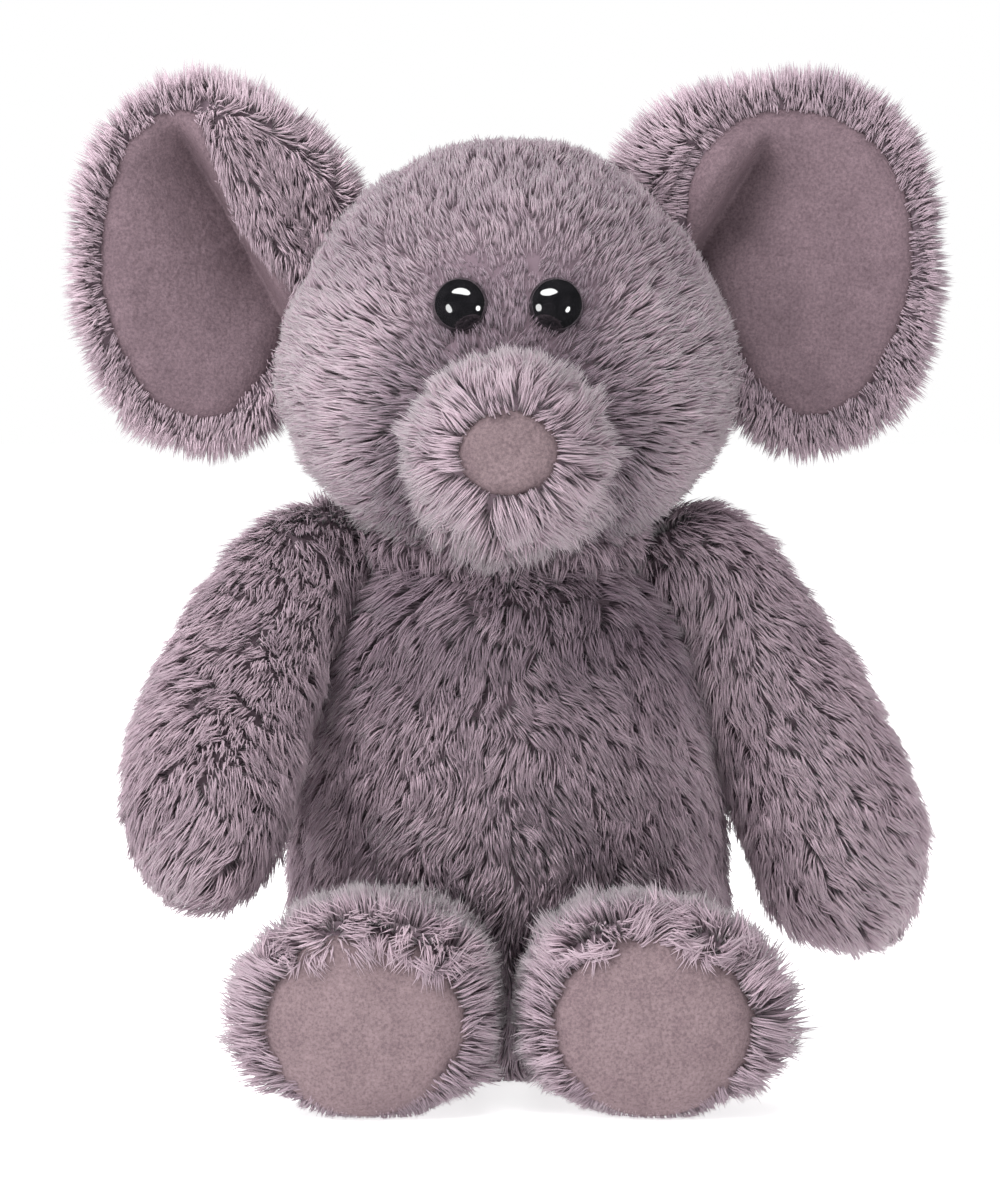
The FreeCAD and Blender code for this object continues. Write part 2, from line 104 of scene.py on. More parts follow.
def noise(points, scale, seed=0):
    """Value noise between -1 and 1, with lumps about scale millimetres across."""
    q = points / scale + 1000.0
    cell = np.floor(q).astype(np.int64)
    f = q - cell
    f = f * f * (3 - 2 * f)
    total = np.zeros(len(points))
    for corner in range(8):
        dx, dy, dz = corner & 1, (corner >> 1) & 1, corner >> 2
        weight = (
            np.where(dx, f[:, 0], 1 - f[:, 0])
            * np.where(dy, f[:, 1], 1 - f[:, 1])
            * np.where(dz, f[:, 2], 1 - f[:, 2])
        )
        total += weight * lattice(cell[:, 0] + dx, cell[:, 1] + dy, cell[:, 2] + dz, seed)
    return total


# Surfaces -------------------------------------------------

class Surface:
    """A triangle and quad mesh in millimetres, held as arrays."""

    def __init__(self, points, quads, triangles=()):
        self.points = np.asarray(points, float)
        self.quads = np.asarray(quads, int).reshape(-1, 4)
        self.triangles = np.asarray(triangles, int).reshape(-1, 3)

    def facing_out(self):
        """The same closed surface with its faces turned outward."""
        a, b, c = self.corners()
        if np.sum(a * np.cross(b, c)) < 0:
            self.quads = self.quads[:, ::-1]
            self.triangles = self.triangles[:, ::-1]
        return self

    def all_triangles(self):
        halves = [self.quads[:, [0, 1, 2]], self.quads[:, [0, 2, 3]], self.triangles]
        return np.vstack(halves)

    def corners(self):
        t = self.all_triangles()
        return [self.points[t[:, k]] for k in range(3)]

    def face_areas(self):
        a, b, c = self.corners()
        return np.linalg.norm(np.cross(b - a, c - a), axis=1) / 2

    def normals(self):
        found = np.zeros_like(self.points)
        t = self.all_triangles()
        a, b, c = self.corners()
        face = np.cross(b - a, c - a)
        for k in range(3):
            np.add.at(found, t[:, k], face)
        return unit(found)

    def lumpy(self, size, scale, seed):
        """Push the surface in and out in soft lumps."""
        lumps = noise(self.points, scale, seed) + 0.5 * noise(self.points, scale / 2, seed + 1)
        self.points = self.points + self.normals() * (size * lumps)[:, None]
        return self

    def scatter(self, count, rng):
        """Random points spread evenly over the surface, with their normals."""
        t = self.all_triangles()
        area = self.face_areas()
        chosen = rng.choice(len(t), count, p=area / area.sum())
        u = np.sqrt(rng.random(count))
        v = rng.random(count)
        share = np.stack([1 - u, u * (1 - v), u * v], axis=1)
        normals = self.normals()
        place = sum(share[:, k, None] * self.points[t[chosen, k]] for k in range(3))
        facing = unit(sum(share[:, k, None] * normals[t[chosen, k]] for k in range(3)))
        return place, facing

    def area(self):
        return float(self.face_areas().sum())


def spline(stops, values, at):
    """A smooth curve through a few stops that never overshoots them, sampled at each place."""
    stops = np.asarray(stops, float)
    values = np.asarray(values, float)
    span = np.diff(stops)
    rise = np.diff(values) / span
    slopes = np.concatenate([rise[:1], np.zeros(len(stops) - 2), rise[-1:]])
    before, after = rise[:-1], rise[1:]
    turns = before * after > 0
    slopes[1:-1][turns] = 2 * before[turns] * after[turns] / (before[turns] + after[turns])
    k = np.clip(np.searchsorted(stops, at) - 1, 0, len(stops) - 2)
    t = (at - stops[k]) / span[k]
    return (
        (2 * t**3 - 3 * t**2 + 1) * values[k]
        + (t**3 - 2 * t**2 + t) * span[k] * slopes[k]
        + (-2 * t**3 + 3 * t**2) * values[k + 1]
        + (t**3 - t**2) * span[k] * slopes[k + 1]
    )


def grid_faces(rows, columns):
    """Quads of a grid whose columns close on themselves."""
    r, c = np.meshgrid(np.arange(rows - 1), np.arange(columns), indexing="ij")
    d = (c + 1) % columns
    here, below = r * columns, (r + 1) * columns
    return np.stack([here + c, here + d, below + d, below + c], axis=-1).reshape(-1, 4)


def closed_rings(points, columns):
    """A closed surface through rings of points, with a fan over its first ring and over its last."""
    points = np.asarray(points).reshape(-1, 3)
    rows = len(points) // columns
    ends = [points[:columns].mean(axis=0), points[-columns:].mean(axis=0)]
    ring = np.arange(columns)
    after = (ring + 1) % columns
    last = (rows - 1) * columns
    caps = np.vstack([
        np.stack([np.full(columns, len(points)), after, ring], axis=1),
        np.stack([np.full(columns, len(points) + 1), last + ring, last + after], axis=1),
    ])
    return Surface(np.vstack([points, ends]), grid_faces(rows, columns), caps).facing_out()


def tube(stations, origin, along, side, rows=60, columns=72, square=2.0):
    """A closed soft shape along an axis. Each station is (distance, half width, half depth, bow)."""
    origin, along, side = (np.asarray(v, float) for v in (origin, along, side))
    third = np.cross(along, side)
    table = np.array(stations, float)
    ease = 0.5 - 0.5 * np.cos(np.linspace(0, math.pi, rows))
    at = table[0, 0] + ease * (table[-1, 0] - table[0, 0])
    width, depth, bow = (spline(table[:, 0], table[:, k], at) for k in (1, 2, 3))
    turn = np.linspace(0, 2 * math.pi, columns, endpoint=False)
    c, s = np.cos(turn), np.sin(turn)
    power = 2.0 / square
    x = np.sign(c) * np.abs(c) ** power
    y = np.sign(s) * np.abs(s) ** power
    points = (
        origin
        + at[:, None, None] * along
        + (width[:, None] * x + bow[:, None])[..., None] * side
        + (depth[:, None] * y)[..., None] * third
    )
    return closed_rings(points, columns)


def disc(rings, columns, first):
    """Shares of the way out, as a column closest together at the rim, and angles, as a row."""
    share = np.sin(np.linspace(first, 1.0, rings) * math.pi / 2)
    turn = np.linspace(-math.pi, math.pi, columns, endpoint=False)
    return share[:, None], turn[None, :]


# Fur ------------------------------------------------------

Rule = Optional[Callable]     # a value for each point, from the points and their normals


@dataclass
class Coat:
    """How the pile of one region grows."""

    flow: Rule                # combing direction
    density: float = 3.0      # locks in a square millimetre
    length: float = 6.0       # mm
    width: float = 0.32       # mm across a lock's root
    rise: float = 32.0        # degrees a lock's root leans from upright
    lie: float = 66.0         # degrees its tip leans from upright
    swirl: float = 32.0       # degrees by which the combing wanders
    clump: float = 3.0        # mm between the tufts that locks gather into
    gather: float = 0.35      # how far tips draw together in a tuft
    ragged: float = 1.0       # how much one tuft differs from the next
    long: Rule = None         # share of the length
    keep: Rule = None         # chance that a lock grows
    tone: Rule = None         # how much lighter or darker the pile is
    upright: Rule = None      # share by which locks straighten up; below zero they lie flatter


def turned(vector, axis, angle):
    """Vectors turned about unit axes by angles in radians."""
    c, s = np.cos(angle)[:, None], np.sin(angle)[:, None]
    along = np.sum(vector * axis, axis=1, keepdims=True) * axis
    return vector * c + np.cross(axis, vector) * s + along * (1 - c)


def grow(surface, coat, seed):
    """Grow locks on a surface. Returns their points, root to tip, and each one's tone."""
    rng = np.random.default_rng(seed)
    count = int(surface.area() * coat.density * LOCK_SHARE)
    root, up = surface.scatter(count, rng)
    if coat.keep is not None:
        stays = rng.random(count) < coat.keep(root, up)
        root, up = root[stays], up[stays]
        count = len(root)

    # Tufts: each lock belongs to its nearest tuft and leans towards that tuft's tip.
    heads = max(8, int(count / (coat.density * LOCK_SHARE * coat.clump**2)))
    tuft = rng.choice(count, heads, replace=False)
    tree = KDTree(heads)
    for k, place in enumerate(root[tuft]):
        tree.insert(place, k)
    tree.balance()
    mine = np.fromiter((tree.find(p)[1] for p in root), dtype=int, count=count)

    def by_tuft():
        return rng.normal(0, 1, heads)[mine]

    def by_lock():
        return rng.normal(0, 1, count)

    wander = noise(root, 13.0, seed + 5) + 0.5 * noise(root, 5.5, seed + 6)
    tuft_turn = math.radians(14) * by_tuft() * coat.ragged
    angle = math.radians(coat.swirl) * wander + tuft_turn + math.radians(9) * by_lock()
    want = coat.flow(root, up)
    comb = unit(want - up * np.sum(want * up, axis=1, keepdims=True))
    comb = turned(comb, up, angle)

    length = coat.length * (1 + 0.1 * coat.ragged * by_tuft() + 0.12 * by_lock())
    length = np.clip(length, 0.45 * coat.length, 1.5 * coat.length)
    if coat.long is not None:
        length = length * coat.long(root, up)
    lean = 7 * coat.ragged * by_tuft()
    leaning = 1.0 if coat.upright is None else 1 - coat.upright(root, up)
    rise = np.radians(coat.rise + lean + 6 * by_lock()) * leaning
    lie = np.radians(coat.lie + lean + 7 * by_lock()) * leaning
    lower = up * np.cos(rise)[:, None] + comb * np.sin(rise)[:, None]
    upper = up * np.cos(lie)[:, None] + comb * np.sin(lie)[:, None]
    start = root - 0.5 * up
    bend = start + lower * (0.5 * length)[:, None]
    tip = bend + upper * (0.55 * length)[:, None]
    pull = (coat.gather * (0.75 + 0.5 * rng.random(heads)))[mine][:, None]
    tip = tip + pull * (tip[tuft][mine] - tip)
    bend = bend + 0.35 * pull * (bend[tuft][mine] - bend)

    tone = 0.5 + 0.15 * noise(root, 8.0, seed + 9) + 0.09 * by_tuft() + 0.07 * by_lock()
    if coat.tone is not None:
        tone = tone + coat.tone(root, up)
    width = coat.width * (0.75 + 0.5 * rng.random(count)) * np.clip(length / coat.length, 0.6, 1.2)
    return start, bend, tip, up, width, np.clip(tone, 0.02, 0.98)


def lock_mesh(start, bend, tip, up, width, tone):
    """Each lock as a closed, ridged blade: three corners at its root, three at its bend, one tip.

    Its UVs hold its tone across, and how far along the lock each point is upward.
    """
    count = len(start)
    rings = []
    for place, ahead, share in ((start, bend - start, 0.8), (bend, tip - start, 1.0)):
        ahead = unit(ahead)
        across = unit(np.cross(ahead, up))
        over = np.cross(across, ahead)
        half = (0.5 * share * width)[:, None]
        rings += [place - across * half, place + across * half, place + over * half * 1.1]
    points = np.stack(rings + [tip], axis=1).reshape(-1, 3)
    base = np.arange(count)[:, None] * 7
    sides = np.array([[0, 1, 4, 3], [1, 2, 5, 4], [2, 0, 3, 5]])
    ends = np.array([[3, 4, 6], [4, 5, 6], [5, 3, 6], [2, 1, 0]])
    quads = (base[:, :, None] + sides[None]).reshape(-1, 4)
    triangles = (base[:, :, None] + ends[None]).reshape(-1, 3)
    at_root, at_bend, at_tip = 0.03, 0.5, 0.97
    spread = 0.012     # keeps a lock's edges apart, so that it covers some of the baked picture
    u = tone[:, None] + np.array([-1, 1, 0, -1, 1, 0, 0]) * spread
    v = np.broadcast_to(np.array([at_root] * 3 + [at_bend] * 3 + [at_tip]), u.shape)
    return Surface(points, quads, triangles), np.stack([u, v], axis=-1).reshape(-1, 2)


def placed(name, data):
    """A new object in the scene."""
    item = bpy.data.objects.new(name, data)
    SCENE.collection.objects.link(item)
    return item


def piece(name, body, surface, material, nodes=(), uv=None):
    """A piece that rides on a body in place of CAD nodes, with none of it below the seat."""
    points = surface.points.copy()
    points[:, 2] = np.maximum(points[:, 2], LOWEST)
    mesh = bpy.data.meshes.new(name)
    quads, triangles = surface.quads, surface.triangles
    corners = np.concatenate([quads.ravel(), triangles.ravel()]).astype(np.int32)
    starts = np.concatenate([np.arange(len(quads)) * 4, 4 * len(quads) + np.arange(len(triangles)) * 3])
    mesh.vertices.add(len(points))
    mesh.vertices.foreach_set("co", (points * MM).astype(np.float32).ravel())
    mesh.loops.add(len(corners))
    mesh.loops.foreach_set("vertex_index", corners)
    mesh.polygons.add(len(starts))
    mesh.polygons.foreach_set("loop_start", starts.astype(np.int32))
    if uv is not None:
        layer = mesh.uv_layers.new(name=UV_NAME)
        layer.data.foreach_set("uv", uv[corners].astype(np.float32).ravel())
    mesh.update(calc_edges=True)
    mesh.validate()
    mesh.shade_smooth()
    mesh.materials.append(material)
    item = placed(name, mesh)
    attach(item, body)
    if nodes:
        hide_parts(*nodes)


def joined(parts):
    """Several surfaces with their UVs as one."""
    points, quads, triangles, uvs, before = [], [], [], [], 0
    for surface, uv in parts:
        points.append(surface.points)
        quads.append(surface.quads + before)
        triangles.append(surface.triangles + before)
        uvs.append(uv)
        before += len(surface.points)
    return Surface(np.vstack(points), np.vstack(quads), np.vstack(triangles)), np.vstack(uvs)


MOST_LOCKS = 19000     # in one piece, which keeps each to about two hundred thousand triangles


def plush(name, body, surface, coat, seed, nodes=(), across=2):
    """Furry pieces that ride on a body: the lumpy backing, and its locks in as many pieces as they need.

    The locks are divided along one axis of the toy: 0 is side to side, 1 front to back, 2 up.
    """
    locks = grow(surface, coat, seed)
    # Painted shade: the backing takes a dark tone near the root colour, so that bare patches between the
    # locks read as shadow.
    dark_tone = 0.3 + 0.1 * noise(surface.points, 6.0, seed)
    near_root = np.full(len(dark_tone), 0.08)
    backing_uv = np.stack([dark_tone, near_root], axis=1)
    count = len(locks[0])
    order = np.argsort(locks[0][:, across])
    shares = np.array_split(order, math.ceil(count / MOST_LOCKS))
    for number, chosen in enumerate(shares, start=1):
        parts = [lock_mesh(*(a[chosen] for a in locks))]
        if number == 1:
            parts.append((surface, backing_uv))
        whole, uv = joined(parts)
        full_name = f"{name}_{number}" if len(shares) > 1 else name
        replaced = nodes if number == 1 else ()
        piece(full_name, body, whole, MATERIALS["plush"], replaced, uv)


# Materials ------------------------------------------------

def srgb(*rgb):
    """A colour given as 0 to 255 display values, in linear light."""
    v = np.array(rgb) / 255.0
    v = np.where(v <= 0.04045, v / 12.92, ((v + 0.055) / 1.055) ** 2.4)
    return (*v, 1.0)


def set_inputs(node, settings):
    """Set a node's inputs, or its own properties, by name."""
    for name, value in settings.items():
        label = name.replace("_", " ")
        if label in node.inputs:
            node.inputs[label].default_value = value
        else:
            setattr(node, name, value)


class Nodes:
    """A short way to write the nodes of a material or a world."""

    def __init__(self, owner, shader="Principled BSDF"):
        owner.use_nodes = True
        self.owner = owner
        self.tree = owner.node_tree
        self.shader = self.tree.nodes[shader]

    def add(self, kind, **settings):
        node = self.tree.nodes.new(kind)
        set_inputs(node, settings)
        return node

    def link(self, source, target):
        self.tree.links.new(source, target)

    def texture(self, kind, **settings):
        """A texture that fills space and stays put on its piece."""
        node = self.add(kind, **settings)
        self.link(self.add("ShaderNodeTexCoord").outputs["Object"], node.inputs["Vector"])
        return node

    def ramp(self, source, stops):
        node = self.add("ShaderNodeValToRGB")
        elements = node.color_ramp.elements
        while len(elements) < len(stops):
            elements.new(0.5)
        for element, (place, colour) in zip(elements, stops):
            element.position = place
            element.color = colour
        self.link(source, node.inputs["Fac"])
        return node.outputs["Color"]

    def mix(self, kind, share, a, b):
        node = self.add("ShaderNodeMix", data_type="RGBA", blend_type=kind)
        for value, socket in ((share, 0), (a, 6), (b, 7)):
            if hasattr(value, "is_linked"):
                self.link(value, node.inputs[socket])
            else:
                node.inputs[socket].default_value = value
        return node.outputs[2]

    def bumpy(self, height, strength, distance):
        node = self.add("ShaderNodeBump", Strength=strength, Distance=distance)
        self.link(height, node.inputs["Height"])
        self.link(node.outputs["Normal"], self.shader.inputs["Normal"])

    def set(self, **settings):
        set_inputs(self.shader, settings)


def material_nodes(name):
    return Nodes(bpy.data.materials.new(name))


def plush_material():
    """Pile that runs from a dark root to a pale, faintly pink tip; its tone varies lock by lock."""
    m = material_nodes("long_plush")
    uv = m.add("ShaderNodeUVMap", uv_map=UV_NAME)
    parts = m.add("ShaderNodeSeparateXYZ")
    m.link(uv.outputs["UV"], parts.inputs["Vector"])
    length = m.ramp(parts.outputs["Y"], (
        (0.0, srgb(121, 105, 113)), (0.3, srgb(147, 129, 138)),
        (0.65, srgb(169, 150, 160)), (1.0, srgb(190, 172, 181))))
    tone = m.ramp(parts.outputs["X"], (
        (0.0, (0.5, 0.47, 0.51, 1)), (0.5, (0.84, 0.82, 0.84, 1)), (1.0, (1.16, 1.15, 1.15, 1))))
    m.link(m.mix("MULTIPLY", 1.0, length, tone), m.shader.inputs["Base Color"])
    m.set(Roughness=0.82, Sheen_Weight=0.25, Sheen_Roughness=0.45, Specular_IOR_Level=0.12)
    return m.owner


def velour_material(name, colour, dark):
    """Short brushed pile: mottled nap, with the fine grain of its ends."""
    m = material_nodes(name)
    nap = m.texture("ShaderNodeTexNoise", Scale=1700.0, Detail=3.0, Roughness=0.7)
    cloud = m.texture("ShaderNodeTexNoise", Scale=110.0, Detail=8.0, Roughness=0.75)
    cells = m.texture("ShaderNodeTexVoronoi", Scale=1500.0)
    bright = tuple(min(1, c * 1.14) for c in colour[:3]) + (1.0,)
    base = m.ramp(cloud.outputs["Fac"], ((0.32, dark), (0.5, colour), (0.7, bright)))
    speck = m.ramp(nap.outputs["Fac"], ((0.32, (0.66, 0.64, 0.66, 1)), (0.5, (0.95, 0.94, 0.95, 1)),
                                        (0.68, (1.2, 1.18, 1.19, 1))))
    m.link(m.mix("MULTIPLY", 0.95, base, speck), m.shader.inputs["Base Color"])
    m.bumpy(m.mix("MIX", 0.4, nap.outputs["Color"], cells.outputs["Color"]), 0.7, 0.0004)
    m.set(Roughness=0.92, Specular_IOR_Level=0.08)
    m.set(Sheen_Weight=0.35, Sheen_Roughness=0.5, Sheen_Tint=colour)
    return m.owner


def eye_material():
    """Polished black plastic with faint moulding marks."""
    m = material_nodes("eye_gloss")
    cloud = m.texture("ShaderNodeTexNoise", Scale=400.0, Detail=2.0)
    tint = m.ramp(cloud.outputs["Fac"], ((0.3, (0.004, 0.004, 0.005, 1)), (0.8, (0.012, 0.011, 0.013, 1))))
    m.link(tint, m.shader.inputs["Base Color"])
    gloss = m.ramp(cloud.outputs["Fac"], ((0.3, (0.05, 0.05, 0.05, 1)), (0.8, (0.12, 0.12, 0.12, 1))))
    m.link(gloss, m.shader.inputs["Roughness"])
    m.set(Coat_Weight=1.0, Coat_Roughness=0.03, Coat_IOR=2.0)
    return m.owner


def plain_cloth(name, colour, scale, roughness):
    """A procedural finish for pieces inside the toy: fibre, woven cloth or moulded plastic."""
    m = material_nodes(name)
    cloud = m.texture("ShaderNodeTexNoise", Scale=scale, Detail=4.0, Roughness=0.6)
    shade = tuple(c * 0.75 for c in colour[:3]) + (1.0,)
    m.link(m.ramp(cloud.outputs["Fac"], ((0.3, shade), (0.7, colour))), m.shader.inputs["Base Color"])
    m.bumpy(cloud.outputs["Fac"], 0.4, 0.0005)
    m.set(Roughness=roughness)
    return m.owner


MATERIALS = {
    "plush": plush_material(),
    "velour": velour_material("short_velour", srgb(120, 104, 107), srgb(111, 95, 99)),
    # The trunk's pad: the sole velour painted darker, as painted shade.
    "tip": velour_material("trunk_velour_shaded", srgb(112, 97, 100), srgb(103, 88, 92)),
    "lining": velour_material("ear_velour", srgb(108, 92, 98), srgb(99, 84, 90)),
    "eye": eye_material(),
    "stuffing": plain_cloth("stuffing_fibre", srgb(240, 238, 236), 500.0, 0.95),
    "cloth": plain_cloth("pellet_cloth", srgb(206, 200, 188), 1400.0, 0.9),
    "thread": plain_cloth("sewing_thread", srgb(128, 112, 122), 2500.0, 0.8),
    "plastic": plain_cloth("washer_plastic", srgb(214, 214, 210), 900.0, 0.5),
}


# Head and trunk -------------------------------------------

HEAD_LOW, HEAD_HIGH = node_box("head_skin")
HEAD_MIDDLE = (HEAD_LOW + HEAD_HIGH) / 2
EYES = {side: middle(f"{side}_eye") for side in SIDES}
EYE_RADIUS = half_size("left_eye")[2]
TRUNK_TIP = middle("trunk_tip_pad")
TRUNK_ROOT = pivot("trunk_lift")
FACE = np.array([0.0, HEAD_LOW[1] - 4, TRUNK_ROOT[2] + 4])


def bump_at(points, centre, reach, size):
    away = np.linalg.norm(points - centre, axis=1)
    return size * np.exp(-((away / reach) ** 2))


def head_surface():
    tall = HEAD_HIGH[2] - HEAD_LOW[2]
    wide, deep, _ = half_size("head_skin")
    shape = [(0.0, 0.06), (0.012, 0.26), (0.05, 0.52), (0.14, 0.78), (0.26, 0.94), (0.4, 1.0), (0.55, 0.965),
             (0.71, 0.855), (0.86, 0.66), (0.963, 0.42), (1.014, 0.2), (1.024, 0.05)]
    stations = [(tall * t, wide * w, deep * w, 0) for t, w in shape]
    base = tube(stations, (0, HEAD_MIDDLE[1], HEAD_LOW[2]), (0, 0, 1), (1, 0, 0), rows=90, columns=110)
    push = np.zeros(len(base.points))
    for sign in SIDES.values():
        cheek = np.array([sign * 27, HEAD_LOW[1] + 11, TRUNK_ROOT[2] + 2])
        push += bump_at(base.points, cheek, 14, 2.4)
        jaw = np.array([sign * 37, HEAD_MIDDLE[1], HEAD_LOW[2] + 13])
        push -= bump_at(base.points, jaw, 15, 2.6)
    for centre in EYES.values():
        push += bump_at(base.points, centre + np.array([0, 0, 11]), 8, 1.4)
    base.points += base.normals() * push[:, None]
    return base.lumpy(0.8, 17.0, 3)


def eye_distance(points):
    return np.min([np.linalg.norm(points - e, axis=1) for e in EYES.values()], axis=0)


def above_eyes(points):
    return points[:, 2] > EYES["left"][2]


def from_muzzle(points):
    """Distance from the line along which the trunk stands out of the face."""
    return np.linalg.norm((points - TRUNK_ROOT)[:, [0, 2]], axis=1)


def head_coat():
    """Pile that fans out from the muzzle, short on the brow and round the eyes, and falls at the back."""
    def flow(p, n):
        return unit(p - FACE) + np.array([0, 0, -0.9]) * smooth(-5, 30, p[:, 1])[:, None]

    def long(p, n):
        near = smooth(EYE_RADIUS - 0.5, EYE_RADIUS + 13, eye_distance(p))
        brow = smooth(HEAD_HIGH[2] - 34, HEAD_HIGH[2] - 20, p[:, 2]) * smooth(20, -10, p[:, 1])
        cheek = smooth(14, 30, np.abs(p[:, 0])) * smooth(HEAD_HIGH[2] - 20, HEAD_LOW[2] + 30, p[:, 2])
        side = smooth(34, 42, np.abs(p[:, 0]))
        muzzle = (1 - smooth(17, 25, from_muzzle(p))) * (p[:, 1] < 0)
        shorter = (1 - 0.3 * brow) * (1 - 0.22 * side) * (1 - 0.3 * muzzle)
        return (0.55 + 0.45 * near) * (1 + 0.15 * cheek) * shorter

    def keep(p, n):
        edge = EYE_RADIUS - 0.3 - 0.9 * above_eyes(p)
        clear = smooth(edge - 0.6, edge + 0.4, eye_distance(p))
        in_trunk = np.linalg.norm(p - TRUNK_ROOT, axis=1) > 12.5
        return clear * in_trunk

    # Painted light and shade: the cheeks are painted lighter, and painted shade darkens the pile round the
    # eyes, most above them, and in a ring round the trunk's root.
    def tone(p, n):
        muzzle = (1 - smooth(22, 31, from_muzzle(p))) * (p[:, 1] < 0)
        cheek = smooth(14, 34, np.abs(p[:, 0])) * smooth(HEAD_HIGH[2] - 16, HEAD_HIGH[2] - 34, p[:, 2])
        socket = (1 - smooth(EYE_RADIUS, EYE_RADIUS + 7, eye_distance(p))) * (0.6 + 0.4 * above_eyes(p))
        return 0.24 * cheek - 0.34 * socket - 0.38 * muzzle

    return Coat(
        density=2.9, length=5.6, rise=34, lie=68, swirl=15, clump=2.8, gather=0.28, ragged=0.5,
        flow=flow, long=long, keep=keep, tone=tone,
    )


def trunk_surface():
    reach = TRUNK_ROOT[1] - TRUNK_TIP[1]
    wide = half_size("trunk_skin")[0]
    shape = [(-0.35, 0.5), (-0.2, 0.86), (0.0, 1.06), (0.2, 1.04), (0.45, 0.96), (0.7, 0.9), (0.86, 0.83),
             (0.94, 0.72), (0.975, 0.58), (0.985, 0.3), (0.987, 0.05)]
    stations = [(reach * t, wide * w, wide * w * 0.97, 0) for t, w in shape]
    base = tube(stations, TRUNK_ROOT, (0, -1, 0), (1, 0, 0), rows=50, columns=64)
    return base.lumpy(0.5, 11.0, 21)


def trunk_coat():
    """Long pile that stands out round the trunk's flat tip like a ruff."""
    def flow(p, n):
        return p - (TRUNK_TIP + np.array([0, -3, 0]))

    def long(p, n):
        below = smooth(2, -12, p[:, 2] - TRUNK_TIP[2])
        behind = p[:, 1] - TRUNK_TIP[1]
        cuff = (0.72 + 0.28 * smooth(2, 10, behind)) * (1 - 0.45 * smooth(14, 22, behind))
        above = smooth(4, 14, p[:, 2] - TRUNK_TIP[2])
        return cuff * (1 + 0.35 * below) * (1 - 0.05 * above)

    def keep(p, n):
        across = (p[:, 0] - TRUNK_TIP[0]) / 8.0
        rise = (p[:, 2] - TRUNK_TIP[2]) / 6.8
        on_pad = (across**2 + rise**2 < 1) & (p[:, 1] < TRUNK_TIP[1] + 5)
        return ~on_pad & (p[:, 1] < TRUNK_ROOT[1] + 2)

    # Painted light and shade: the ruff round the tip is painted lighter, and painted shade darkens the pile
    # towards the trunk's root.
    def tone(p, n):
        behind = p[:, 1] - TRUNK_TIP[1]
        return 0.24 - 0.5 * smooth(13, 21, behind)

    return Coat(
        density=3.7, length=7.6, rise=24, lie=58, swirl=20, clump=3.2, gather=0.38,
        flow=flow, long=long, keep=keep, tone=tone,
    )


# Torso, neck and limbs ------------------------------------

def torso_surface():
    low, high = node_box("torso_skin")
    tall = high[2] - low[2]
    wide = half_size("torso_skin")[0]
    shape = [(0.003, 0.3), (0.004, 0.62), (0.03, 0.76), (0.1, 0.9), (0.2, 0.98), (0.34, 1.02), (0.5, 1.01),
             (0.65, 0.96), (0.78, 0.9), (0.88, 0.83), (0.95, 0.75), (1.01, 0.6), (1.045, 0.4), (1.055, 0.12)]
    stations = [(tall * t, wide * w, wide * w * 0.97, 0) for t, w in shape]
    base = tube(stations, (0, 0, low[2]), (0, 0, 1), (1, 0, 0), rows=100, columns=110)
    belly = bump_at(base.points, np.array([0, low[1], 0.42 * tall]), 26, 2.2)
    base.points += base.normals() * belly[:, None]
    base.points[:, 2] = np.maximum(base.points[:, 2], 0.3)
    return base.lumpy(1.2, 16.0, 41)


def torso_coat():
    """Shaggy pile combed down and a little outward, darker in the shade under the chin."""
    def flow(p, n):
        return np.stack([np.sign(p[:, 0]) * 0.25, np.zeros(len(p)), -np.ones(len(p))], axis=1)

    def keep(p, n):
        return (p[:, 2] > 1.0) & (n[:, 2] > -0.9)

    def tone(p, n):
        return 0.03 - 0.38 * smooth(64, 90, p[:, 2]) * (p[:, 1] < 0)

    return Coat(
        density=2.8, length=6.2, rise=36, lie=70, swirl=42, clump=3.4, gather=0.28, ragged=0.75,
        flow=flow, keep=keep, tone=tone,
    )


def neck_surface():
    centre = pivot("neck_turn")
    stations = [(-9, 6, 6, 0), (-8, 18, 17, 0), (-3, 25, 24, 0), (3, 27, 26, 0), (8, 22, 21, 0), (9, 6, 6, 0)]
    return tube(stations, centre + np.array([0, -1, 1]), (0, 0, 1), (1, 0, 0), rows=26, columns=64)


# How far out from the torso each arm lies, in degrees, how far it bows in mm, and its stations.
ARM_OUT = {"left": 25.5, "right": 15.0}
ARM_BOW = {"left": 7.5, "right": 11.0}
ARM_SHAPE = {
    "left": [(0.0, 0.3, 0.1), (0.02, 0.6, 0.2), (0.09, 0.8, 0.45), (0.2, 0.88, 0.74), (0.34, 0.95, 0.92),
             (0.5, 1.04, 0.96), (0.66, 1.11, 0.86), (0.8, 1.09, 0.7), (0.9, 0.92, 0.58), (0.965, 0.62, 0.5),
             (0.992, 0.34, 0.46), (1.0, 0.08, 0.46)],
    "right": [(0.0, 0.3, 0.1), (0.02, 0.6, 0.2), (0.09, 0.8, 0.45), (0.2, 0.87, 0.74), (0.34, 0.92, 0.92),
              (0.5, 0.97, 1.0), (0.66, 1.02, 0.97), (0.8, 0.98, 0.8), (0.9, 0.83, 0.64), (0.965, 0.56, 0.52),
              (0.992, 0.32, 0.46), (1.0, 0.08, 0.46)],
}


def arm_frame(side, sign):
    """The arm's root, the direction it hangs in, and the direction it bows in."""
    root = pivot(f"{side}_shoulder_swing")
    swing = JOINTS[f"{side}_shoulder_swing"]
    forward = math.radians(-30 - swing["range_deg"][0])
    out = math.radians(ARM_OUT[side])
    ahead, up = math.sin(forward), math.cos(forward)
    along = np.array([sign * math.sin(out), -math.cos(out) * ahead, -math.cos(out) * up])
    bow = np.array([sign * math.cos(out), math.sin(out) * ahead, math.sin(out) * up])
    return root, along, unit(bow - along * np.dot(bow, along))


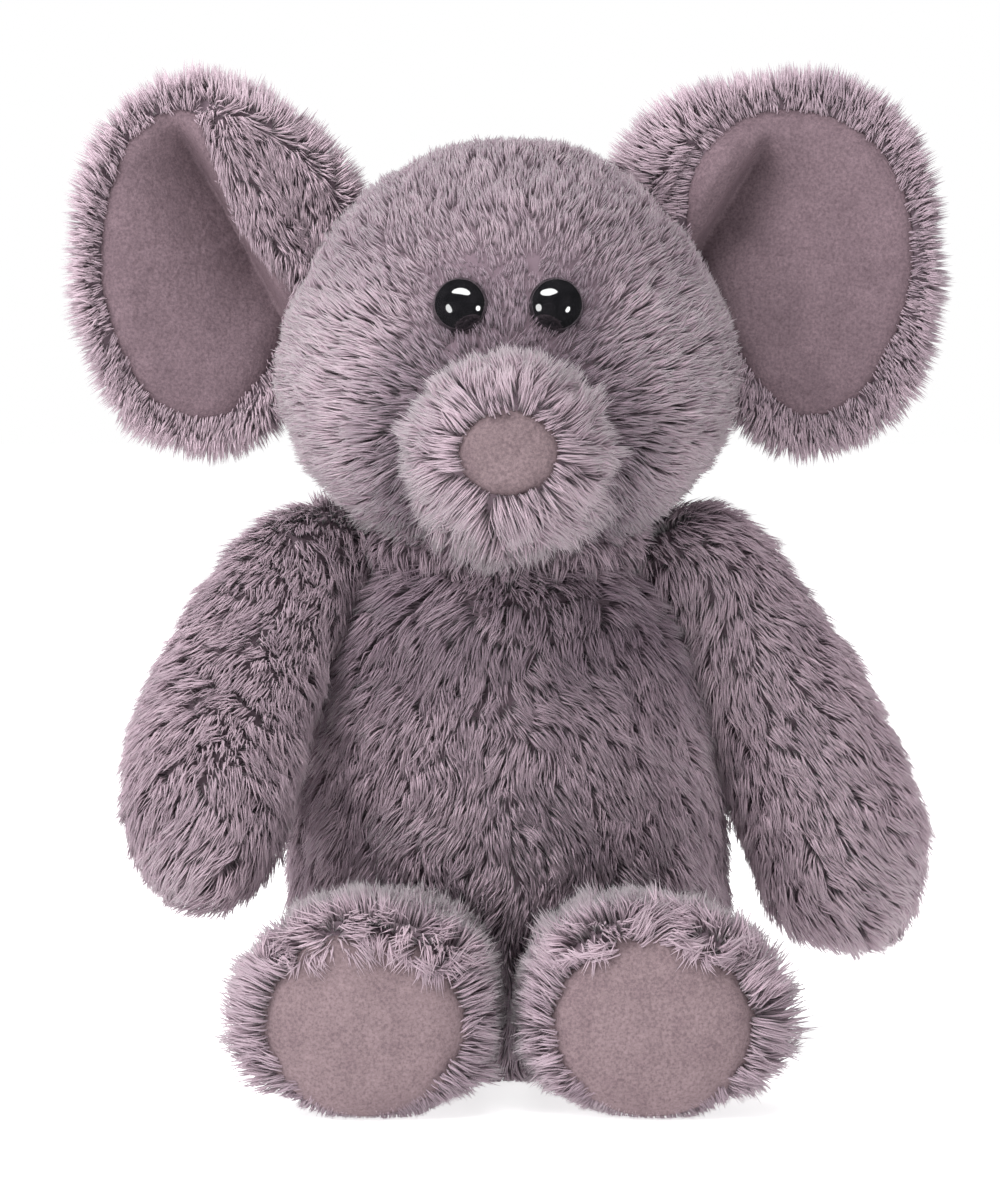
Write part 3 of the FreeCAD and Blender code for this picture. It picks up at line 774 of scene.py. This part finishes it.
def arm_surface(side, sign):
    root, along, bow = arm_frame(side, sign)
    length, wide, start = 91.0, 14.0, -8.5
    stations = [(length * t + start, wide * w, wide * w * 1.02, ARM_BOW[side] * b)
                for t, w, b in ARM_SHAPE[side]]
    base = tube(stations, root, along, bow, rows=80, columns=64)
    return base.lumpy(0.9, 13.0, 61 if sign > 0 else 67)


def arm_coat(side, sign):
    """Pile that spreads from the crown of the shoulder and then runs down the arm."""
    root, along, bow = arm_frame(side, sign)

    def flow(p, n):
        at = (p - root) @ along
        out = unit((p - root) - along * at[:, None])
        crown = smooth(8, -8, at)[:, None]
        droop = np.array([0, 0, -0.5])
        return along + droop + 0.5 * bow * smooth(20, 60, at)[:, None] + 1.4 * out * crown

    def long(p, n):
        at = (p - root) @ along
        return 1 + 0.12 * smooth(40, 75, at)

    # Painted light and shade: the toy's left arm is painted lighter than its right, and each is painted
    # darker at the shoulder, lightening down the arm.
    def tone(p, n):
        return (0.12 if sign > 0 else 0.04) + 0.14 * smooth(0, 40, (p - root) @ along)

    return Coat(
        density=2.9, length=6.0, rise=34, lie=68, swirl=28, clump=2.7, gather=0.3, ragged=0.65,
        flow=flow, long=long, tone=tone,
    )


LEG_SHAPE = [(-0.22, 0.25), (-0.17, 0.5), (-0.05, 0.7), (0.15, 0.8), (0.35, 0.88), (0.55, 0.95), (0.75, 1.0),
             (0.9, 1.0), (0.965, 0.95), (0.995, 0.86), (1.0, 0.78), (1.003, 0.4), (1.004, 0.06)]


def leg_surface(side, sign):
    root = pivot(f"{side}_hip_swing")
    sole = middle(f"{side}_sole_pad")
    length = root[1] - sole[1] - 1.4
    wide, _, tall = half_size(f"{side}_leg_skin") - (0.3, 0, 0)
    splay = sole[0] - root[0]
    stations = [(length * t, wide * w, tall * w, splay * sign * min(1, max(0, t))) for t, w in LEG_SHAPE]
    base = tube(stations, root, (0, -1, 0), (sign, 0, 0), rows=70, columns=84, square=2.15)
    base.lumpy(0.7, 13.0, 81 if sign > 0 else 87)
    base.points[:, 2] = np.maximum(base.points[:, 2], 0.4)
    return base


def on_sole(p, side, margin=0.0):
    """Whether points lie inside a sole pad's outline."""
    centre, half = middle(f"{side}_sole_pad"), half_size(f"{side}_sole_pad")
    across = (p[:, 0] - centre[0]) / (half[0] + margin)
    rise = (p[:, 2] - centre[2]) / (half[2] + margin)
    return (across**2 + rise**2 < 1) & (p[:, 1] < centre[1] + half[1] + 4)


def leg_coat(side, sign):
    """Pile that rays out round the sole pad, with a tousled fringe hanging over the pad's top."""
    sole = middle(f"{side}_sole_pad")

    def over_pad(p):
        return smooth(6, 13, p[:, 2] - sole[2]) * smooth(sole[1] + 7, sole[1] + 2, p[:, 1])

    def flow(p, n):
        out = unit(p - (sole + np.array([0, -8, -3]))) + np.array([0, 0.1, 0.1])
        across, down = 1.3 * noise(p, 5.0, 77), 1.2 * noise(p, 5.0, 79) - 0.4
        tousled = np.stack([across, np.full(len(p), -0.6), down], axis=1)
        share = over_pad(p)[:, None]
        return out * (1 - share) + tousled * share

    def long(p, n):
        under = smooth(10, 3, p[:, 2])
        inner = smooth(9, 3, sign * p[:, 0])
        top = smooth(26, 36, p[:, 2])
        outer = smooth(40, 48, sign * p[:, 0]) * (0.4 if sign > 0 else 0.15)
        return (1 - 0.62 * under) * (1 - 0.35 * inner) * (1 + 0.12 * top) * (1 + outer)

    def keep(p, n):
        creep = smooth(4, 13, p[:, 2] - sole[2]) * (1.5 + noise(p, 6.0, 83))
        return ~on_sole(p, side, -1.2 - creep) & (p[:, 2] > 0.8)

    # Painted light: the pile over the top of each sole pad is painted lighter, more on the toy's right foot
    # than on its left.
    def tone(p, n):
        return 0.06 + (0.3 if sign > 0 else 0.42) * over_pad(p)

    return Coat(
        density=3.6, length=6.4, rise=32, lie=62, swirl=28, clump=2.6, gather=0.2,
        flow=flow, long=long, keep=keep, tone=tone,
    )


def tail_pieces():
    root, tip = pivot("tail_lift"), middle("tail_tuft")
    along = unit(tip - root)
    side = np.array([1.0, 0, 0])
    length = float(np.linalg.norm(tip - root))
    stations = [(-5, 0.6, 0.6, 0), (-3.5, 3.2, 3.2, 0), (2, 3.9, 3.9, 0), (0.5 * length, 3.2, 3.2, 0),
                (0.9 * length, 2.8, 2.8, 0), (length, 2.2, 2.2, 0), (length + 1.5, 0.5, 0.5, 0)]
    base = tube(stations, root, along, side, rows=40, columns=28)

    def flow(p, n):
        return np.broadcast_to(along, p.shape) + np.array([0, 0, -0.15])

    def long(p, n):
        return 0.75 + 0.9 * smooth(0.72 * length, 0.95 * length, (p - root) @ along)

    coat = Coat(density=2.2, length=4.6, rise=40, lie=78, swirl=14, clump=2.4, flow=flow, long=long)
    plush("tail_plush", "tail", base, coat, 401, nodes=("tail_skin", "tail_tuft"))


# Ears -----------------------------------------------------

class Outline:
    """A closed outline round a centre, through a few (x, z) points, as radius against angle."""

    def __init__(self, centre, points):
        self.centre = np.array(centre, float)
        rel = np.array(points, float) - self.centre
        angle = np.arctan2(rel[:, 1], rel[:, 0])
        order = np.argsort(angle)
        angle, radius = angle[order], np.linalg.norm(rel, axis=1)[order]
        wrapped = np.concatenate([angle - 2 * math.pi, angle, angle + 2 * math.pi])
        self.at = np.linspace(-math.pi, math.pi, 241)
        self.radius = spline(wrapped, np.tile(radius, 3), self.at)

    def reach(self, angle):
        angle = (angle + math.pi) % (2 * math.pi) - math.pi
        return np.interp(angle, self.at, self.radius)

    def share(self, x, z):
        """How far out a point is: 0 at the centre, 1 on the outline."""
        dx, dz = x - self.centre[0], z - self.centre[1]
        return np.hypot(dx, dz) / self.reach(np.arctan2(dz, dx))


# Each ear, drawn as the toy's left one: outline of its plush, outline of its velour lining, and the
# pleat where its upper inner edge folds forward. Points are (out to the side, up), in millimetres,
# from the middle of the ear's back. A banded ear shows velour on both sides of its pleat; on the other
# ear long pile from the back wraps over. Both ears' lower edges are alike.
LOBE = [(-22, -8), (-16, -20), (-8, -31), (3, -36), (14, -33.5), (23, -24)]
EARS = {
    "left": {
        "outline": [(27.5, 3), (25.5, 17), (19.5, 28), (9, 34.5), (-5, 34.5), (-16, 32.5), (-25, 28),
                    (-31.5, 21), (-32, 12), (-28, 2), *LOBE, (27, -11)],
        "lining": [(24.6, 3), (22.5, 15), (15.5, 25), (4, 30), (-7, 29.5), (-13.5, 25.5), (-18.5, 19),
                   (-20.5, 10), (-20, 3), (-16, -6), (-11, -16), (-4, -26), (4.5, -31), (13, -27.5),
                   (20.5, -16), (24, -6)],
        "pleat": ((-6.5, 23.5), (-18.5, 4.5)),
        "band": True,
    },
    "right": {
        "outline": [(28.5, 3), (26.5, 17), (20, 28.5), (8, 35), (-4, 32.5), (-14, 26), (-21, 19),
                    (-25, 12), (-27, 3), *LOBE, (27.6, -11)],
        "lining": [(25, 3), (23, 15), (18, 26), (10.5, 30.3), (5, 29), (3, 24), (0.5, 16), (-3, 8), (-8, 1),
                   (-13.5, -4), (-11, -14), (-6, -24), (3, -31.5), (13, -29), (20.5, -19), (24.5, -7)],
        "pleat": ((8, 27.5), (-5, 3.5)),
        "band": False,
    },
}


# Padded velour --------------------------------------------

CLOTH_CELLS = 41       # points along each side of a simulated sheet
CLOTH_SCALE = 0.02     # a millimetre of sheet, in metres, where cloth behaves at its usual size
CLOTH_FRAMES = 20      # by when a sheet has settled


def disc_grid():
    """A square grid of points drawn onto the unit disc."""
    steps = np.linspace(-1, 1, CLOTH_CELLS)
    u, v = np.meshgrid(steps, steps, indexing="ij")
    return u * np.sqrt(1 - v**2 / 2), v * np.sqrt(1 - u**2 / 2)


def on_grid(x, y):
    """Where points of the unit disc lie on that square grid, each way from -1 to 1."""
    def back(a, b):
        whole = 2 + a**2 - b**2
        part = 2 * math.sqrt(2) * a
        return (np.sqrt(np.maximum(whole + part, 0)) - np.sqrt(np.maximum(whole - part, 0))) / 2
    return back(x, y), back(y, x)


def padded(outline, slack, most):
    """Cloth simulation of a flat sheet held along its seam and pushed out by the filling behind it.

    The outline maps points of the unit disc to places on the sheet, and slack is how much wider the cloth
    is than its seam. The result is how far each point of the grid moves across, forward and up, in
    millimetres, with none further forward than most.
    """
    flat = outline(*disc_grid())
    seam = np.zeros((CLOTH_CELLS, CLOTH_CELLS), bool)
    seam[[0, -1], :] = True
    seam[:, [0, -1]] = True
    index = np.arange(CLOTH_CELLS**2).reshape(CLOTH_CELLS, CLOTH_CELLS)
    quads = np.stack([index[:-1, :-1], index[1:, :-1], index[1:, 1:], index[:-1, 1:]], axis=-1).reshape(-1, 4)
    start = np.stack([flat[0], np.zeros_like(flat[0]), flat[1]], axis=-1).reshape(-1, 3)
    mesh = bpy.data.meshes.new("sheet")
    mesh.from_pydata((start * CLOTH_SCALE).tolist(), [], quads.tolist())
    item = placed("sheet", mesh)
    item.vertex_groups.new(name="seam").add(index[seam].tolist(), 1.0, "REPLACE")
    cloth = item.modifiers.new("cloth", "CLOTH")
    cloth.settings.quality = 8
    cloth.settings.vertex_group_mass = "seam"
    cloth.settings.use_pressure = True
    cloth.settings.uniform_pressure_force = 2.0
    cloth.settings.shrink_min = -slack
    cloth.settings.shrink_max = -slack
    cloth.settings.effector_weights.gravity = 0.0
    cloth.collision_settings.use_collision = False
    for number in range(1, CLOTH_FRAMES + 1):
        SCENE.frame_set(number)
    settled = item.evaluated_get(bpy.context.evaluated_depsgraph_get()).data
    points = np.empty(3 * len(start))
    settled.vertices.foreach_get("co", points)
    moved = points.reshape(-1, 3) / CLOTH_SCALE - start
    bpy.data.objects.remove(item)
    bpy.data.meshes.remove(mesh)
    SCENE.frame_set(1)
    moved[:, 1] = np.clip(np.abs(moved[:, 1]), 0, most)
    return moved.reshape(CLOTH_CELLS, CLOTH_CELLS, 3)


def from_sheet(moved, share, turn):
    """The sheet's movement at points given by their share of the way to the seam and their angle."""
    u, v = on_grid(share * np.cos(turn), share * np.sin(turn))
    place = [np.clip((c + 1) / 2 * (CLOTH_CELLS - 1), 0, CLOTH_CELLS - 1.001) for c in (u, v)]
    cell = [c.astype(int) for c in place]
    a, b = (c - k for c, k in zip(place, cell))
    total = 0
    for da, share_a in ((0, 1 - a), (1, a)):
        for db, share_b in ((0, 1 - b), (1, b)):
            total = total + (share_a * share_b)[..., None] * moved[cell[0] + da, cell[1] + db]
    return total


def nap(x, z, layers):
    """Small lumps over a velour face. Each layer has its height, its scale and a seed."""
    flat = np.stack([x, z, np.zeros_like(x)], axis=-1).reshape(-1, 3)
    return sum(height * noise(flat, scale, seed) for height, scale, seed in layers).reshape(x.shape)


EAR_OUT = 56.0         # mm from the toy's middle to each ear's


class Ear:
    """One ear as height fields over its own plane: how far its faces stand in front or behind."""

    def __init__(self, side, sign):
        self.side, self.sign = side, sign
        low, high = node_box(f"{side}_ear_back")
        self.centre = np.array([EAR_OUT, (low[1] + high[1]) / 2, (low[2] + high[2]) / 2])
        self.outline = Outline((0, 0), EARS[side]["outline"])
        lining = EARS[side]["lining"]
        self.lining = Outline(np.mean(lining, axis=0), lining)
        self.top, self.foot = (np.array(p, float) for p in EARS[side]["pleat"])

    def from_pleat(self, x, z):
        """Distance past the pleat towards the lobe, and how far down the pleat, 0 to 1."""
        run = self.foot - self.top
        length = np.linalg.norm(run)
        run = run / length
        out = np.array([-run[1], run[0]])
        if out[0] < 0:
            out = -out
        dx, dz = x - self.top[0], z - self.top[1]
        return dx * out[0] + dz * out[1], (dx * run[0] + dz * run[1]) / length

    def front(self, x, z):
        """How far forward the front face stands."""
        share = self.outline.share(x, z)
        dish = -3.5 * (1 - smooth(0.15, 1.0, share))
        past, down = self.from_pleat(x, z)
        strong = smooth(-0.2, 0.3, down) * (1 - 0.5 * smooth(1.1, 2.1, down))
        roll = 2.9 * np.sqrt(np.maximum(0, 1 - ((past + 3.6) / 5.2) ** 2))
        shoulder = 2.8 * smooth(1.6, -3.6, past) * np.exp(-((np.minimum(past + 8.8, 0) / 9.0) ** 2))
        hollow = 8.0 * np.exp(-((np.maximum(past, 0) / 10.0) ** 2)) * smooth(-0.4, 2.2, past)
        return dish + strong * (roll + shoulder - hollow)

    def thickness(self, x, z):
        share = np.clip(self.outline.share(x, z), 0, 1)
        return 6.5 * np.sqrt(np.maximum(0, 1 - share**5))

    def place(self, x, forward, z):
        """Points in the toy's frame from points in the ear's plane."""
        curl = 0.0022 * (x + 10) ** 2
        front_back = self.centre[1] - 1.5 - forward - curl
        return np.stack([self.sign * (self.centre[0] + x), front_back, self.centre[2] + z], axis=-1)

    def plush_surface(self, rings=60, columns=180):
        share, turn = disc(rings, columns, 0.02)
        radius = self.outline.reach(turn)
        x = share * radius * np.cos(turn)
        z = share * radius * np.sin(turn)
        front = self.front(x, z) - 1.4 * (1 - smooth(1.02, 1.3, self.lining.share(x, z)))
        thick = self.thickness(x, z)
        faces = [self.place(x, front, z), self.place(x, front - thick, z)[::-1][1:]]
        return closed_rings(np.concatenate(faces), columns)

    def lining_surface(self, rings=70, columns=220):
        """The velour face: puffed in its middle, tucked under the pile at its edge."""
        share, turn = disc(rings, columns, 0.01)
        radius = self.lining.reach(turn)
        x = self.lining.centre[0] + share * radius * np.cos(turn)
        z = self.lining.centre[1] + share * radius * np.sin(turn)

        def outline(u, v):
            reach = self.lining.reach(np.arctan2(v, u))
            return u * reach, v * reach

        sheet = from_sheet(padded(outline, 0.012, 4.0), share, turn)
        edge = 1.9 * (1 - share**9)
        front = self.front(x, z) + 0.6 * sheet[..., 1] + edge - 1.0
        x = x + sheet[..., 0]
        z = z + sheet[..., 2]
        front = front + nap(x, z, ((0.25, 7.0, 7), (0.09, 1.1, 8), (0.07, 0.6, 9))) * (1 - share**12)
        back = self.front(x, z) - 1.5
        faces = [self.place(x, front, z), self.place(x, back, z)[::-1]]
        return closed_rings(np.concatenate(faces), columns)

    def in_plane(self, p):
        return self.sign * p[:, 0] - self.centre[0], p[:, 2] - self.centre[2]

    def coat(self):
        corner = np.array([self.sign * (self.centre[0] - 14), 0, self.centre[2] - 4.5])

        def is_front(p, n):
            x, z = self.in_plane(p)
            forward = self.place(x, np.zeros(len(p)), z)[:, 1] - p[:, 1]
            return forward > self.front(x, z) - self.thickness(x, z) / 2

        def at_rim(x, z):
            return smooth(0.78, 0.96, self.outline.share(x, z))

        def outward(p):
            x, z = self.in_plane(p)
            return unit(np.stack([self.sign * x, np.zeros(len(p)), z], axis=1))

        def flow(p, n):
            x, z = self.in_plane(p)
            past, down = self.from_pleat(x, z)
            inside = 1 - at_rim(x, z)
            cuff = (smooth(2, -6, past) * smooth(-0.6, 0.1, down) * inside * is_front(p, n))[:, None]
            fall = np.array([-0.25 * self.sign, 0.0, -1.0])
            towards = unit(corner - p) + fall
            if EARS[self.side]["band"]:
                return outward(p) + 0.4 * cuff * towards
            return outward(p) * (1 - cuff) + cuff * towards

        def upright(p, n):
            x, z = self.in_plane(p)
            seam = 0.9 * smooth(0.45, 0.95, np.sum(outward(p) * n, axis=1))
            over_edge = 0.42 * smooth(0.86, 1.0, self.outline.share(x, z)) * is_front(p, n)
            return seam - over_edge * (1 - seam)

        def keep(p, n):
            x, z = self.in_plane(p)
            lined = self.lining.share(x, z) < 0.955
            return ~(lined & is_front(p, n))

        def long(p, n):
            x, z = self.in_plane(p)
            rim = smooth(0.75, 1.0, self.outline.share(x, z))
            near_lining = smooth(1.0, 1.12, self.lining.share(x, z))
            front = is_front(p, n)
            facing = np.where(front, 0.72 + 0.28 * near_lining, 1.0)
            return facing * (0.88 + 0.12 * rim) * (1 - 0.16 * upright(p, n))

        # Painted light and shade: the front pile is painted lighter on one ear than on the other, and lighter
        # still where it wraps over the pleat; the back is painted darker, lightening towards the rim.
        def tone(p, n):
            x, z = self.in_plane(p)
            past, down = self.from_pleat(x, z)
            wrapped = smooth(2, -4, past) * smooth(-0.6, 0.1, down)
            lit = 0.24 if EARS[self.side]["band"] else 0.46
            back = 0.12 + (lit - 0.12) * at_rim(x, z)
            return np.where(is_front(p, n), lit + 0.1 * wrapped, back)

        return Coat(
            density=4.1, length=5.7, rise=27, lie=60, swirl=10, clump=2.8, gather=0.24, ragged=0.35,
            flow=flow, long=long, keep=keep, tone=tone, upright=upright,
        )


def pad_surface(centre, half_width, half_height, slack, tuck, seed):
    """A velour disc facing the front: crowned, with its edge tucked under the pile."""
    columns = 150
    share, turn = disc(44, columns, 0.01)
    x = share * half_width * np.cos(turn)
    z = share * half_height * np.sin(turn)
    lumps = nap(x, z, ((0.3, 7.0, seed), (0.08, 0.9, seed + 1), (0.05, 0.5, seed + 2)))

    def outline(u, v):
        return u * half_width, v * half_height

    sheet = from_sheet(padded(outline, slack, 3.0), share, turn)
    edge = 0.9 * (1 - share**8)
    forward = 0.8 * sheet[..., 1] + edge - tuck * share**10 + lumps * (1 - share**12)
    x = x + sheet[..., 0]
    z = z + sheet[..., 2]
    depth = 1.6
    faces = [
        np.stack([x, -forward, z], axis=-1),
        np.stack([x, np.full_like(x, depth), z], axis=-1)[::-1],
    ]
    return closed_rings(np.concatenate(faces) + centre, columns)


# Eyes -----------------------------------------------------

def eye_surface(side, sign):
    """A domed button with a fine rolled rim, on its shank."""
    centre = EYES[side]
    yaw, pitch = math.radians(12), math.radians(7)
    level = math.cos(pitch)
    facing = np.array([sign * math.sin(yaw) * level, -math.cos(yaw) * level, math.sin(pitch)])
    radius = EYE_RADIUS
    proud = 2.4        # mm that the button's seat stands forward of its middle
    profile = [(-8, 0.3), (-7.9, 1.3), (-1, 1.4), (-0.4, 3.0), (-0.1, radius - 0.25), (0.25, radius),
               (0.6, radius - 0.12), (1.4, radius * 0.9), (2.3, radius * 0.71), (2.95, radius * 0.48),
               (3.25, radius * 0.26), (3.34, radius * 0.04)]
    seat = centre + facing * proud
    stations = [(d, r, r, 0) for d, r in profile]
    side_way = unit(np.cross(facing, np.array([0, 0, 1.0])))
    return tube(stations, seat, facing, side_way, rows=70, columns=72)


# Put it together ------------------------------------------

plush("head_plush", "head", head_surface(), head_coat(), 101, nodes=("head_skin",), across=1)
plush("trunk_plush", "trunk", trunk_surface(), trunk_coat(), 131, nodes=("trunk_skin",))
plush("torso_plush", "torso", torso_surface(), torso_coat(), 151, nodes=("torso_skin",), across=1)
plush("neck_plush", "neck", neck_surface(),
      Coat(density=2.2, length=5.0, flow=lambda p, n: np.broadcast_to([0.0, 0.0, -1.0], p.shape)), 171,
      nodes=("neck_gather",))
tail_pieces()

trunk_pad = pad_surface(TRUNK_TIP + np.array([0, -0.1, 0]), 9.6, 8.2, 0.03, 1.4, 301)
piece("trunk_pad", "trunk", trunk_pad, MATERIALS["tip"], ("trunk_tip_pad",))

for side, sign in SIDES.items():
    plush(f"{side}_arm_plush", f"{side}_arm", arm_surface(side, sign), arm_coat(side, sign),
          201 if sign > 0 else 211, nodes=(f"{side}_arm_skin", f"{side}_shoulder_gather"))
    plush(f"{side}_leg_plush", f"{side}_leg", leg_surface(side, sign), leg_coat(side, sign),
          221 if sign > 0 else 231, nodes=(f"{side}_leg_skin", f"{side}_hip_gather"))
    pad = f"{side}_sole_pad"
    half = half_size(pad) + 1.1
    sole_middle = middle(pad) + np.array([0, 0, -0.7])
    sole = pad_surface(sole_middle, half[0], half[2], 0.016, 1.8, 311 if sign > 0 else 321)
    piece(f"{side}_sole", f"{side}_leg", sole, MATERIALS["velour"], (pad,))
    ear = Ear(side, sign)
    plush(f"{side}_ear_plush", f"{side}_ear", ear.plush_surface(), ear.coat(), 241 if sign > 0 else 251,
          nodes=(f"{side}_ear_back", f"{side}_ear_wadding"))
    piece(f"{side}_ear_velour", f"{side}_ear", ear.lining_surface(), MATERIALS["lining"],
          (f"{side}_ear_lining",))
    piece(f"{side}_button_eye", "head", eye_surface(side, sign), MATERIALS["eye"],
          (f"{side}_eye",))

FINISHES = {
    "stuffing": MATERIALS["stuffing"],
    "pellet": MATERIALS["cloth"],
    "stitches": MATERIALS["thread"],
    "washer": MATERIALS["plastic"],
}
for node in frame["nodes"]:
    for word, material in FINISHES.items():
        if word in node:
            for slot in bpy.data.objects[node].material_slots:
                slot.material = material


# Studio ---------------------------------------------------

def sink_with_the_toy(floor):
    """Keep the floor under the feet and the tail when a pose lowers them past the seat."""
    tuft_low, tuft_high = node_box("tail_tuft")
    marks = {"tail": (0.0, tuft_high[1], tuft_low[2] - 3)}
    for side in SIDES:
        sole = middle(f"{side}_sole_pad")
        marks[f"{side}_leg"] = (sole[0], node_box(f"{side}_sole_pad")[0][1], 0.0)
    height = floor.driver_add("location", 2).driver
    for body, place in marks.items():
        mark = placed(f"{body}_lowest", None)
        mark.location = Vector(place) * MM
        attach(mark, body)
        reading = height.variables.new()
        reading.name = body
        reading.type = "TRANSFORMS"
        reading.targets[0].id = mark
        reading.targets[0].transform_type = "LOC_Z"
        reading.targets[0].transform_space = "WORLD_SPACE"
    height.expression = f"min(0, {', '.join(marks)})"


def studio():
    floor_mesh = bpy.data.meshes.new("floor")
    reach = 3.0
    corners = [(-reach, -reach, 0), (reach, -reach, 0), (reach, reach, 0), (-reach, reach, 0)]
    floor_mesh.from_pydata(corners, [], [(0, 1, 2, 3)])
    floor = placed("floor", floor_mesh)
    floor.visible_glossy = False
    pale = material_nodes("pale_floor")
    pale.set(Base_Color=(0.85, 0.85, 0.85, 1), Roughness=0.8)
    pale.set(Emission_Color=(1, 1, 1, 1), Emission_Strength=0.75)
    floor_mesh.materials.append(pale.owner)
    sink_with_the_toy(floor)

    # The camera sees a white room, but the toy is lit by a dimmer one and mirrored in a dark one.
    SCENE.world = bpy.data.worlds.new("studio")
    room = Nodes(SCENE.world, "Background")
    room.set(Color=(1, 1, 1, 1))
    path = room.add("ShaderNodeLightPath")
    level = room.add("ShaderNodeMapRange", To_Min=0.36, To_Max=0.03)
    room.link(path.outputs["Is Glossy Ray"], level.inputs["Value"])
    white = room.add("ShaderNodeMath", operation="MAXIMUM")
    room.link(path.outputs["Is Camera Ray"], white.inputs[0])
    room.link(level.outputs["Result"], white.inputs[1])
    room.link(white.outputs["Value"], room.shader.inputs["Strength"])

    aim = Vector((0, 0, 0.11))
    # The bar and the two dots are the softboxes that glint in the eyes.
    lamps = (
        ("bar", -14, 50, 1.15, (1.05, 0.5), 9.0, True),
        ("dot_left", -44, 2, 1.2, (0.44, 0.44), 2.4, True),
        ("dot_right", 44, 0, 1.2, (0.3, 0.3), 2.0, True),
        ("side", -55, 28, 1.2, (0.7, 0.7), 10.0, False),
        ("top", 10, 80, 1.1, (0.6, 0.5), 4.5, False),
        ("back", 180, 35, 1.2, (0.9, 0.7), 4.5, False),
    )
    for name, azimuth, elevation, away, (wide, tall), power, mirrored in lamps:
        lamp = bpy.data.lights.new(name, "AREA")
        lamp.shape = "ELLIPSE"
        lamp.size = wide
        lamp.size_y = tall
        lamp.energy = power
        turn, rise = math.radians(azimuth), math.radians(elevation)
        way = Vector((math.sin(turn) * math.cos(rise), -math.cos(turn) * math.cos(rise), math.sin(rise)))
        item = placed(name, lamp)
        item.location = aim + way * away
        item.rotation_euler = way.to_track_quat("Z", "Y").to_euler()
        item.visible_glossy = mirrored


def camera():
    """A long lens, just above level, framed as a portrait of the toy."""
    away, rise = 1.1, math.radians(4.0)
    aim = Vector((-0.0016, 0, 0.0922))
    seen_height = 0.2408     # metres from the picture's foot to its top, at the toy
    view = bpy.data.cameras.new("camera")
    view.sensor_fit = "VERTICAL"
    view.sensor_height = 36.0
    view.lens = view.sensor_height * away / seen_height
    item = placed("camera", view)
    item.location = aim + Vector((0, -math.cos(rise), math.sin(rise))) * away
    item.rotation_euler = (aim - item.location).to_track_quat("-Z", "Y").to_euler()
    bpy.context.scene.camera = item


studio()
camera()
SCENE.view_settings.view_transform = "Standard"
